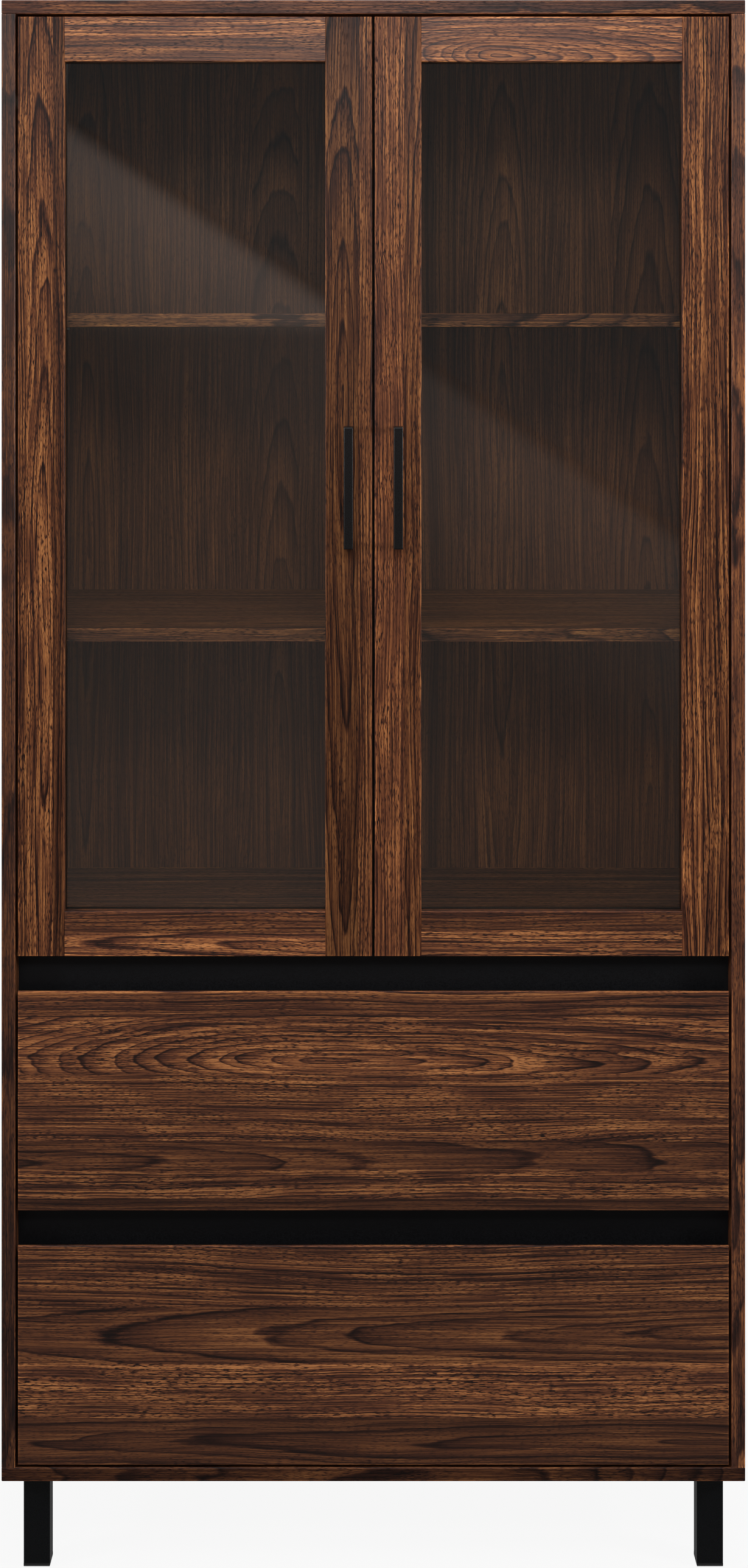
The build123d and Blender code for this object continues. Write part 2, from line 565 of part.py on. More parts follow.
MIDDLE_HALF = SLIDE_HEIGHT / 2 - SLIDE_GAUGE - SLIDE_GAP
OUTER_TIP = SLIDE_WIDTH - SLIDE_GAUGE - SLIDE_GAP
MIDDLE_WEB = SLIDE_GAUGE + SLIDE_GAP
MIDDLE_TIP = OUTER_TIP - SLIDE_GAUGE - SLIDE_GAP
INNER_HALF = MIDDLE_HALF - SLIDE_GAUGE - SLIDE_LIP - SLIDE_GAP
INNER_TIP = MIDDLE_TIP - 2 * SLIDE_GAUGE - SLIDE_GAP


def channel(web, tip, half_height, lip, z):
    """One slide member on the right: a channel whose web and flange tips lie this far in from the side
    panel. A positive lip turns in at the tips, and a negative one turns out."""
    way = 1 if tip > web else -1

    def piece(near, far, low, high):
        near_x, far_x = INNER_X - near, INNER_X - far
        return block((min(near_x, far_x), max(near_x, far_x)), SLIDE_DEPTH, (z + low, z + high))

    member = piece(web, web + way * SLIDE_GAUGE, -half_height, half_height)
    lip_end = half_height - SLIDE_GAUGE - lip if lip > 0 else half_height - lip
    lip_span = sorted((lip_end, half_height))
    for flange in ((half_height - SLIDE_GAUGE, half_height), (-half_height, SLIDE_GAUGE - half_height)):
        member += piece(web, tip, *flange)
    for lip_z in (tuple(lip_span), (-lip_span[1], -lip_span[0])):
        member += piece(tip - way * SLIDE_GAUGE, tip, *lip_z)
    return member


def drawer(level, front_z):
    """The pieces of one drawer by name."""
    box_z = (front_z[0] + BOX_LIFT, front_z[1] - BOX_DROP)
    floor_z = (box_z[0] + BOX_BOTTOM_LIFT, box_z[0] + BOX_BOTTOM_LIFT + BOX_BOTTOM)
    inside = BOX_X - BOX_BOARD
    groove_x = (-inside - BOX_GROOVE, inside + BOX_GROOVE)
    groove_depth = (BOX_DEPTH[0] - BOX_GROOVE, BOX_DEPTH[1])
    groove = block(groove_x, groove_depth, grown(floor_z, FIT))
    board = block((-DOOR_EDGE, DOOR_EDGE), DOOR_DEPTH, front_z)
    bevel_drop = DOOR_THICKNESS - FINGER_LIP
    pull_edge = board.edges().filter_by(Axis.X).group_by(Axis.Z)[-1].sort_by(Axis.Y)[-1]
    pulled = chamfer(pull_edge, bevel_drop)
    floor_depth = (groove_depth[0] + FIT, BOX_DEPTH[1])
    right_side = block((inside, BOX_X), BOX_DEPTH, box_z) - groove
    rear = (BOX_DEPTH[1] - BOX_BOARD, BOX_DEPTH[1])
    pieces = {}
    pieces["front"] = [chamfer(front_edges(pulled), ARRIS) - groove]
    pieces["right_side"] = [right_side]
    pieces["left_side"] = mirrored([right_side])
    pieces["back"] = [block((-inside, inside), rear, (floor_z[1] + FIT, box_z[1]))]
    pieces["bottom"] = [block(grown(groove_x, -FIT), floor_depth, floor_z)]
    return {f"{level}_drawer_{name}": shapes for name, shapes in pieces.items()}


outer_slides = []
for level, front_z in (("upper", UPPER_FRONT), ("lower", LOWER_FRONT)):
    nodes.update(drawer(level, front_z))
    slide_z = (front_z[0] + BOX_LIFT + front_z[1] - BOX_DROP) / 2
    middle_slide = channel(MIDDLE_WEB, MIDDLE_TIP, MIDDLE_HALF, SLIDE_LIP, slide_z)
    inner_slide = channel(SLIDE_WIDTH, INNER_TIP, INNER_HALF, -SLIDE_LIP, slide_z)
    outer_slides.append(channel(0, OUTER_TIP, SLIDE_HEIGHT / 2, SLIDE_LIP, slide_z))
    nodes[f"{level}_middle_slides"] = both([middle_slide])
    nodes[f"{level}_inner_slides"] = both([inner_slide])
nodes["outer_slides"] = both(outer_slides)

os.makedirs("parts", exist_ok=True)
for name, shapes in nodes.items():
    solids = [solid for shape in shapes for solid in shape.solids()]
    export_step(Compound(children=solids), f"parts/{name}.step")
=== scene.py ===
"""China cabinet with glass doors: its finishes, small hardware and a plain studio, around the CAD frame."""

import math
from collections import namedtuple

import bmesh
import bpy
from mathutils import Matrix, Vector


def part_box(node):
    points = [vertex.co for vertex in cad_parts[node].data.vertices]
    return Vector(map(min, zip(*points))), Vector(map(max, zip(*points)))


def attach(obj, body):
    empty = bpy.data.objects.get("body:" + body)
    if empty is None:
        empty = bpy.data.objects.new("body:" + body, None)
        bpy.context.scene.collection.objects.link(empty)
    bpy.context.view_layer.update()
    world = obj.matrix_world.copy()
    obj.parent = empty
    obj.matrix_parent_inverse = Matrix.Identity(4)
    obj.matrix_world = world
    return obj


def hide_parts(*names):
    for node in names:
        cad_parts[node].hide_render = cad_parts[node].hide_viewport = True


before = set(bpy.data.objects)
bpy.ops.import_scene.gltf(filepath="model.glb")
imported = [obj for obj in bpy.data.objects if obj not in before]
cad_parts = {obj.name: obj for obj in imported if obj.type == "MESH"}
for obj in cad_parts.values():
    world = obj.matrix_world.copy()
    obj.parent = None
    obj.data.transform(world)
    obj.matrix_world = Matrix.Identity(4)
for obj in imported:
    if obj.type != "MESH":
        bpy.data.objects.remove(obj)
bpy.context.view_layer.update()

bl_info = {
    "name": "China Cabinet With Glass Doors",
    "version": (1, 0, 0),
    "blender": (4, 5, 0),
    "location": "View3D > Sidebar > Cabinet",
    "description": "Finishes a walnut-print china cabinet and stands it in a plain studio",
    "category": "Object",
}

MM = 0.001
AXES = "xyz"
SIDES = ("left", "right")
LEVELS = ("upper", "lower")


def linear(code):
    """Turns an sRGB hex colour into linear red, green and blue."""
    shares = [int(code[place:place + 2], 16) / 255 for place in (1, 3, 5)]
    return tuple(s / 12.92 if s <= 0.04045 else ((s + 0.055) / 1.055) ** 2.4 for s in shares)


def solid(rgb):
    """Adds full opacity to a colour."""
    return (*rgb, 1.0)


# Properties that a user would change


def length(name, description, default):
    """A size in metres."""
    return bpy.props.FloatProperty(
        name=name, description=description, default=default, unit="LENGTH", precision=4
    )


def share(name, description, default):
    """A share from none to all."""
    return bpy.props.FloatProperty(name=name, description=description, default=default, subtype="FACTOR")


def power(name, description, default):
    """A lamp's power in watts."""
    return bpy.props.FloatProperty(name=name, description=description, default=default, unit="POWER")


def colour(name, description, default):
    """A colour, given as sRGB hex."""
    return bpy.props.FloatVectorProperty(
        name=name, description=description, default=linear(default), subtype="COLOR", min=0, max=1
    )


class WalnutFinish(bpy.types.PropertyGroup):
    """The walnut print on the boards."""

    pore: colour("Pore", "Darkest lines, where the print shows open pores", "#1b0e0a")
    dark: colour("Dark wood", "Late wood at the end of a ring", "#381d14")
    middle: colour("Middle wood", "The board's mean colour", "#5d3523")
    warm: colour("Warm wood", "Early wood", "#8e5632")
    light: colour("Light wood", "Lightest dashes between the pores", "#c4814c")
    streak: length("Streak length", "Length of a fibre streak along the grain", 120 * MM)
    streak_width: length("Streak width", "Width of a fibre streak across the grain", 1.1 * MM)
    pore_length: length("Pore length", "Length of a pore dash along the grain", 7 * MM)
    pore_width: length("Pore width", "Width of a pore dash across the grain", 0.7 * MM)
    emboss: length("Emboss depth", "Depth of the grain pressed into the foil", 0.06 * MM)
    roughness: share("Roughness", "Roughness of the satin foil", 0.42)


class HardwareFinish(bpy.types.PropertyGroup):
    """Paint, plating, plastic and the plain boards."""

    paint: colour("Powder coat", "Black paint of legs and handles", "#0b0c0e")
    board: colour("Black board", "Black foil of the finger rails", "#0c0d10")
    bead: colour("Glass bead", "Black strip that holds the glass", "#0c0c0d")
    plastic: colour("Plastic", "Black moulding of the glides", "#0f0f10")
    nickel: colour("Nickel plate", "Pressed steel of the hinges", "#c3beb6")
    zinc: colour("Zinc plate", "Rolled steel of slides and screws", "#b4b9bf")
    casting: colour("Zinc casting", "Cam locks", "#9a9c9e")
    drawer: colour("Drawer board", "Paper foil inside the drawers", "#4a3427")
    beech: colour("Beech", "Dowels", "#c79a6b")
    peel: length("Orange peel", "Width of a ripple in the powder coat", 1.2 * MM)


class GlassFinish(bpy.types.PropertyGroup):
    """The panes."""

    tint: colour("Tint", "Colour of light that passes one pane", "#dfe6e3")
    ior: bpy.props.FloatProperty(name="IOR", description="Refraction of float glass", default=1.5)


class StudioSetup(bpy.types.PropertyGroup):
    """Camera, lamps and floor."""

    lens: bpy.props.FloatProperty(
        name="Lens", description="Focal length on a 36 mm sensor", default=47.11, unit="CAMERA"
    )
    height: length("Camera height", "Height of the lens over the floor", 1.361)
    distance: length("Camera distance", "From the lens to the cabinet's front", 2.2423)
    key: power("Key lamp", "Power of the softbox over the camera", 16.5)
    wide: power("Wide lamp", "Power of the large softbox overhead", 10.0)
    left: power("Left lamp", "Power of the small softbox on the left", 14.0)
    right: power("Right lamp", "Power of the small softbox on the right", 18.0)
    back: power("Back lamp", "Power of the softbox behind the cabinet", 45.0)
    ambient: share("Ambient", "Strength of the even light from all round", 0.11)
    floor: colour("Floor", "Pale floor", "#c9c9c8")


# Node trees

# a Map Range is given its value, From Min, From Max, To Min and To Max, and this where its ends are eased
EASED = {"interpolation_type": "SMOOTHSTEP"}


def fill_inputs(tree, node, links):
    """Fills a node's inputs with nodes, sockets or values: links maps them, or lists them in order."""
    for key, value in links.items() if isinstance(links, dict) else enumerate(links):
        source = value.outputs[0] if isinstance(value, bpy.types.Node) else value
        if isinstance(source, bpy.types.NodeSocket):
            tree.links.new(source, node.inputs[key])
        else:
            node.inputs[key].default_value = source


def add_node(tree, kind, links=(), stops=(), **settings):
    """Adds a node with its settings and links. Its kind is named without ShaderNode. Stops fills a ramp."""
    made = tree.nodes.new(kind if kind.startswith("NodeGroup") else "ShaderNode" + kind)
    for name, value in settings.items():
        setattr(made, name, value)
    fill_inputs(tree, made, links)
    for index, (place, value) in enumerate(stops):
        elements = made.color_ramp.elements
        stop = elements[index] if index < len(elements) else elements.new(place)
        stop.position = place
        stop.color = value if len(value) == 4 else solid(value)
    return made


def start_material(name, kind="BsdfPrincipled", **sockets):
    """A new material with its own shader, whose sockets take the values given."""
    made = bpy.data.materials.new(name)
    made.use_nodes = True
    tree = made.node_tree
    tree.nodes.clear()
    links = {key.replace("_", " ").title().replace("Ior", "IOR"): value for key, value in sockets.items()}
    shader = add_node(tree, kind, links)
    add_node(tree, "OutputMaterial", {"Surface": shader})
    return made, tree, shader


def set_surface(tree, shader):
    """Shows another shader on a material's surface."""
    output = next(node for node in tree.nodes if node.type == "OUTPUT_MATERIAL")
    fill_inputs(tree, output, {"Surface": shader})


def place_in_mm(tree, axes=AXES):
    """The place on the object at rest in millimetres, with its axes in the order given."""
    place = add_node(tree, "TexCoord").outputs["Object"]
    scaled = add_node(tree, "VectorMath", {0: place, "Scale": 1 / MM}, operation="SCALE")
    split = add_node(tree, "SeparateXYZ", [scaled])
    return add_node(tree, "CombineXYZ", [split.outputs[AXES.index(axis)] for axis in axes])


def finish_nodes(material, *nodes):
    """Gives CAD nodes a material."""
    for node in nodes:
        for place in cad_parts[node].material_slots:
            place.material = material


def scene_part(name):
    """One of the scene's property groups."""
    return getattr(bpy.context.scene, name)


# Walnut


Plank = namedtuple("Plank", "width heart eye slope ring tone contrast speckle")

# how a board stands: the axes along its grain, across it and into the board
FRONT_LYING, FRONT_STANDING, SIDE_STANDING, FLAT = "xzy", "zxy", "zyx", "xyz"
# boards behind the glass have a matt paper foil, and the rest a satin one; pressed grain that stands on the
# front throws light from above sideways, so it shines less there than grain that lies
MATT_BOARDS = ("back_panel", "display_floor", "lower_shelf", "upper_shelf")
MATT_GLOSS = 0.08
SATIN_GLOSS = {FRONT_LYING: 0.32, FRONT_STANDING: 0.16, SIDE_STANDING: 0.32, FLAT: 0.2}

# a colour ramp holds nothing below nought, so heart, eye and slope are stored raised by this much
FIGURE_BASE = (3000, 3000, 1)
# how far the rings drift and wobble, over what length and width of board (mm), and the detail of that noise
DRIFT, WOBBLE = (22, 420, 60, 1), (5, 70, 16, 2)
# the share of that wobble that the fibres follow, and how much longer an arch runs on one side of its eye
FIBRE_WOBBLE, LEAN = 0.5, 0.35
# pace of good and bad years, how far they stretch the rings, and the detail and roughness of that noise
YEAR_PACE, YEAR_STRETCH, YEAR_DETAIL, YEAR_ROUGHNESS = 0.37, 2.0, 1, 0.6
# grey level through one ring, from its pale early wood to the dark line that closes it
RING_PROFILE = ((0.0, 0.3), (0.06, 0.72), (0.5, 0.62), (0.84, 0.42), (0.95, 0.0), (1.0, 0.3))
# strength of the faintest ring, and how much more the boldest has
FAINT_RING, BOLD_RING = 0.55, 0.6
# detail and roughness of the noise that draws the streaks, and of the noise that draws the dashes
STREAK_NOISE, DASH_NOISE = (2, 0.6), (1, 0.5)
# level of the dashes' noise at which a pore begins, and at which it is full
PORE_START, PORE_FULL = 0.56, 0.68
# the same levels for the tone of light and dark dashes, and those two tones
DASH_START, DASH_FULL, LIGHT_DASH, DARK_DASH = 0.46, 0.7, 0.1, -0.4
# dashes crowd where the wobble is high: its two levels, and how strong the dashes are at each
CROWD_LOW, CROWD_HIGH, FEW_DASHES, MANY_DASHES = 0.35, 0.65, 0.1, 1.4
# how much each part of the figure counts in the tone
RING_SHARE, YEAR_SHARE, STREAK_SHARE, DASH_SHARE, BLOTCH_SHARE, PORE_SHARE = 0.6, 0.4, 1.05, 0.8, 0.22, 0.1
# strength of the whole figure, the tone about which it swings, and the tones of the five wood colours
BOLDNESS, MIDDLE_TONE, WOOD_TONES = 1.2, 0.52, (0.1, 0.32, 0.52, 0.72, 0.95)
# how far the tone drifts along the tree
TONE_DRIFT = 0.5
# how much rougher a pore is than the foil, its depth in shares of a streak's, and the strength of the relief
PORE_ROUGHNESS, PORE_DEPTH, EMBOSS_STRENGTH = 0.12, 0.7, 0.5
# how much paler a painted highlight makes a board's edges, and from what distance (mm)
EDGE_HIGHLIGHT, EDGE_HIGHLIGHT_FULL, EDGE_HIGHLIGHT_END = 1.7, 0.6, 2.2
# how far the noise moves on from board to board, and from plank to plank
BOARD_SEED, PLANK_SEED = 3.1, 1.7


def walnut_figure():
    """
    Black walnut as a printed veneer: rings cut at a slant draw arches, thin dark lines close each ring,
    and short pores and light dashes run along the grain.
    Place is along, across and into the board in mm. Figure is a plank's heart, eye and slope.
    Character is its tone, contrast and seed.
    """
    finish = scene_part("cabinet_walnut")
    tree = bpy.data.node_groups.new("walnut figure", "ShaderNodeTree")
    for way, kind, names in (
        ("INPUT", "Vector", ("Place", "Figure", "Character")), ("INPUT", "Float", ("Ring", "Speckle")),
        ("OUTPUT", "Color", ("Colour",)), ("OUTPUT", "Float", ("Roughness", "Height")),
    ):
        for name in names:
            tree.interface.new_socket(name=name, in_out=way, socket_type="NodeSocket" + kind)
    given = add_node(tree, "NodeGroupInput").outputs
    place = given["Place"]
    along, across, into = add_node(tree, "SeparateXYZ", [place]).outputs
    figure = add_node(tree, "VectorMath", [given["Figure"], FIGURE_BASE], operation="SUBTRACT")
    heart, eye, slope = add_node(tree, "SeparateXYZ", [figure]).outputs
    tone, contrast, seed = add_node(tree, "SeparateXYZ", [given["Character"]]).outputs
    shift = add_node(tree, "CombineXYZ", [seed, seed, seed])

    # slow drift of the rings along the tree, and a small wobble
    waves = []
    for reach, length_mm, width_mm, detail in (DRIFT, WOBBLE):
        scale = (1 / length_mm, 1 / width_mm, 1 / width_mm)
        spot = add_node(tree, "VectorMath", [place, scale, shift], operation="MULTIPLY_ADD")
        noise = add_node(tree, "TexNoise", {"Vector": spot, "Scale": 1, "Detail": detail})
        moved = add_node(tree, "Math", [noise, reach, -reach / 2], operation="MULTIPLY_ADD")
        waves.append((noise, moved))
    (drift, drift_mm), (wobble, wobble_mm) = waves

    # distance from the ring centre on the slanted cut, counted in rings of uneven width
    off_heart = add_node(tree, "Math", [across, heart], operation="SUBTRACT")
    side = add_node(tree, "Math", [off_heart, drift_mm], operation="ADD")
    off_eye = add_node(tree, "Math", [along, eye], operation="SUBTRACT")
    rise = add_node(tree, "Math", [off_eye, slope], operation="MULTIPLY")
    steep = add_node(tree, "Math", [rise], operation="ABSOLUTE")
    leaning = add_node(tree, "Math", [steep, LEAN, rise], operation="MULTIPLY_ADD")
    on_cut = add_node(tree, "CombineXYZ", [side, leaning])
    radius = add_node(tree, "VectorMath", [on_cut], operation="LENGTH").outputs["Value"]
    ring_mm = add_node(tree, "Math", [radius, wobble_mm], operation="ADD")
    count = add_node(tree, "Math", [ring_mm, given["Ring"]], operation="DIVIDE")
    links = {"W": count, "Scale": YEAR_PACE, "Detail": YEAR_DETAIL, "Roughness": YEAR_ROUGHNESS}
    years = add_node(tree, "TexNoise", links, noise_dimensions="1D")
    uneven = add_node(tree, "Math", [years, YEAR_STRETCH, count], operation="MULTIPLY_ADD")
    counted = add_node(tree, "Math", [uneven, seed], operation="ADD")
    phase = add_node(tree, "Math", [counted], operation="FRACT")
    year = add_node(tree, "Math", [counted], operation="FLOOR")
    vigour = add_node(tree, "TexWhiteNoise", {"W": year}, noise_dimensions="1D")
    stops = [(spot, (level,) * 3) for spot, level in RING_PROFILE]
    ring = add_node(tree, "ValToRGB", {"Fac": phase}, stops)
    ring_part = add_node(tree, "Math", [ring, 0.5], operation="SUBTRACT")
    strength = add_node(tree, "Math", [vigour, BOLD_RING, FAINT_RING], operation="MULTIPLY_ADD")
    rings = add_node(tree, "Math", [ring_part, strength], operation="MULTIPLY")

    # fibre streaks, and pore dashes with light dashes between them, bend with the rings
    bent = add_node(tree, "Math", [wobble_mm, FIBRE_WOBBLE, side], operation="MULTIPLY_ADD")
    fibre_place = add_node(tree, "CombineXYZ", [along, bent, into])
    fibres = []
    for long, wide, (detail, roughness) in (
        (finish.streak, finish.streak_width, STREAK_NOISE),
        (finish.pore_length, finish.pore_width, DASH_NOISE),
    ):
        scale = (MM / long, MM / wide, MM / wide)
        spot = add_node(tree, "VectorMath", [fibre_place, scale, shift], operation="MULTIPLY_ADD")
        links = {"Vector": spot, "Scale": 1, "Detail": detail, "Roughness": roughness}
        fibres.append(add_node(tree, "TexNoise", links))
    streaks, dashes = fibres
    pores = add_node(tree, "MapRange", [dashes, PORE_START, PORE_FULL, 0, 1], **EASED)
    dash_level = add_node(tree, "MapRange", [dashes, DASH_START, DASH_FULL, LIGHT_DASH, DARK_DASH], **EASED)
    crowd = add_node(tree, "MapRange", [wobble, CROWD_LOW, CROWD_HIGH, FEW_DASHES, MANY_DASHES])
    speckle = add_node(tree, "Math", [crowd, given["Speckle"]], operation="MULTIPLY")
    dash_part = add_node(tree, "Math", [dash_level, speckle], operation="MULTIPLY")

    # all of them about the middle tone: a noise has its mean at a half, which is taken off
    means = -0.5 * (YEAR_SHARE + STREAK_SHARE + BLOTCH_SHARE)
    total = add_node(tree, "Math", [rings, RING_SHARE, means], operation="MULTIPLY_ADD")
    for part, weight in (
        (years, YEAR_SHARE), (streaks, STREAK_SHARE), (dash_part, DASH_SHARE), (wobble, BLOTCH_SHARE)
    ):
        total = add_node(tree, "Math", [part, weight, total], operation="MULTIPLY_ADD")
    bold = add_node(tree, "Math", [contrast, BOLDNESS], operation="MULTIPLY")
    strong = add_node(tree, "Math", [total, bold, MIDDLE_TONE], operation="MULTIPLY_ADD")
    value = add_node(tree, "Math", [pores, -PORE_SHARE, strong], operation="MULTIPLY_ADD")
    woods = (finish.pore, finish.dark, finish.middle, finish.warm, finish.light)
    ramp = add_node(tree, "ValToRGB", {"Fac": value}, zip(WOOD_TONES, woods))

    # the tone drifts slowly along the tree
    cloud = add_node(tree, "SeparateColor", [drift.outputs["Color"]]).outputs[1]
    drifting = add_node(tree, "Math", [cloud, TONE_DRIFT, 1 - TONE_DRIFT / 2], operation="MULTIPLY_ADD")
    shade = add_node(tree, "Math", [tone, drifting], operation="MULTIPLY")
    toned = add_node(tree, "VectorMath", {0: ramp, "Scale": shade}, operation="SCALE")
    sheen = add_node(tree, "Math", [pores, PORE_ROUGHNESS, finish.roughness], operation="MULTIPLY_ADD")
    height = add_node(tree, "Math", [pores, -PORE_DEPTH, streaks], operation="MULTIPLY_ADD")
    add_node(tree, "NodeGroupOutput", {"Colour": toned, "Roughness": sheen, "Height": height})
    return tree


def painted_edge_highlight(tree, place, low, high, print_colour):
    """A board's colour made paler along its edges: a painted highlight of the light that the edges catch.
    Low and high are its corners in mm.
    """
    middle = [(first + last) / 2 for first, last in zip(low, high)]
    half = [(last - first) / 2 for first, last in zip(low, high)]
    off_middle = add_node(tree, "VectorMath", [place, middle], operation="SUBTRACT")
    outwards = add_node(tree, "VectorMath", [off_middle], operation="ABSOLUTE")
    inwards = add_node(tree, "VectorMath", [half, outwards], operation="SUBTRACT")
    # of the three distances to a board's faces, the middle one is how far its nearest edge is
    first, second, third = add_node(tree, "SeparateXYZ", [inwards]).outputs
    least = add_node(tree, "Math", [first, second], operation="MINIMUM")
    most = add_node(tree, "Math", [first, second], operation="MAXIMUM")
    other = add_node(tree, "Math", [most, third], operation="MINIMUM")
    to_edge = add_node(tree, "Math", [least, other], operation="MAXIMUM")
    # painted highlight: full near the edge, none farther in
    edge_highlight = add_node(tree, "MapRange", [to_edge, EDGE_HIGHLIGHT_FULL, EDGE_HIGHLIGHT_END, EDGE_HIGHLIGHT, 1], **EASED)
    return add_node(tree, "VectorMath", {0: print_colour, "Scale": edge_highlight}, operation="SCALE")


def walnut_board(node, axes, planks, seed):
    """Walnut print on one board: axes names along, across and into, and planks run from its low side."""
    finish = scene_part("cabinet_walnut")
    group = bpy.data.node_groups.get("walnut figure") or walnut_figure()
    low, high = ([corner[AXES.index(axis)] / MM for axis in axes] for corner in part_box(node))
    start, end = low[1], high[1]
    middle = (low[0] + high[0]) / 2
    figures = []
    characters = []
    edge = start
    for index, plank in enumerate(Plank(*row) for row in planks):
        spot = (edge - start) / (end - start)
        raised = Vector((edge + plank.heart, middle + plank.eye, plank.slope)) + Vector(FIGURE_BASE)
        figures.append((spot, (*raised, plank.ring)))
        characters.append((spot, (plank.tone, plank.contrast, seed + PLANK_SEED * index, plank.speckle)))
        edge += plank.width
    gloss = MATT_GLOSS if node in MATT_BOARDS else SATIN_GLOSS[axes]
    made, tree, shader = start_material("walnut print " + node.replace("_", " "), specular_ior_level=gloss)
    place = place_in_mm(tree, axes)
    sides = add_node(tree, "SeparateXYZ", [place])
    spot = add_node(tree, "MapRange", [sides.outputs["Y"], start, end])
    figure = add_node(tree, "ValToRGB", {"Fac": spot}, figures)
    character = add_node(tree, "ValToRGB", {"Fac": spot}, characters)
    for bands in (figure, character):
        bands.color_ramp.interpolation = "CONSTANT"
        if len(planks) == 1:
            bands.color_ramp.elements.remove(bands.color_ramp.elements[1])
    links = {
        "Place": place, "Figure": figure, "Ring": figure.outputs["Alpha"],
        "Character": character, "Speckle": character.outputs["Alpha"],
    }
    walnut = add_node(tree, "Group", links, node_tree=group)
    # the board's colour with its painted edge highlight
    highlighted = painted_edge_highlight(tree, place, low, high, walnut.outputs["Colour"])
    links = {"Strength": EMBOSS_STRENGTH, "Distance": finish.emboss, "Height": walnut.outputs["Height"]}
    bump = add_node(tree, "Bump", links)
    links = {"Base Color": highlighted, "Roughness": walnut.outputs["Roughness"], "Normal": bump}
    fill_inputs(tree, shader, links)
    finish_nodes(made, node)


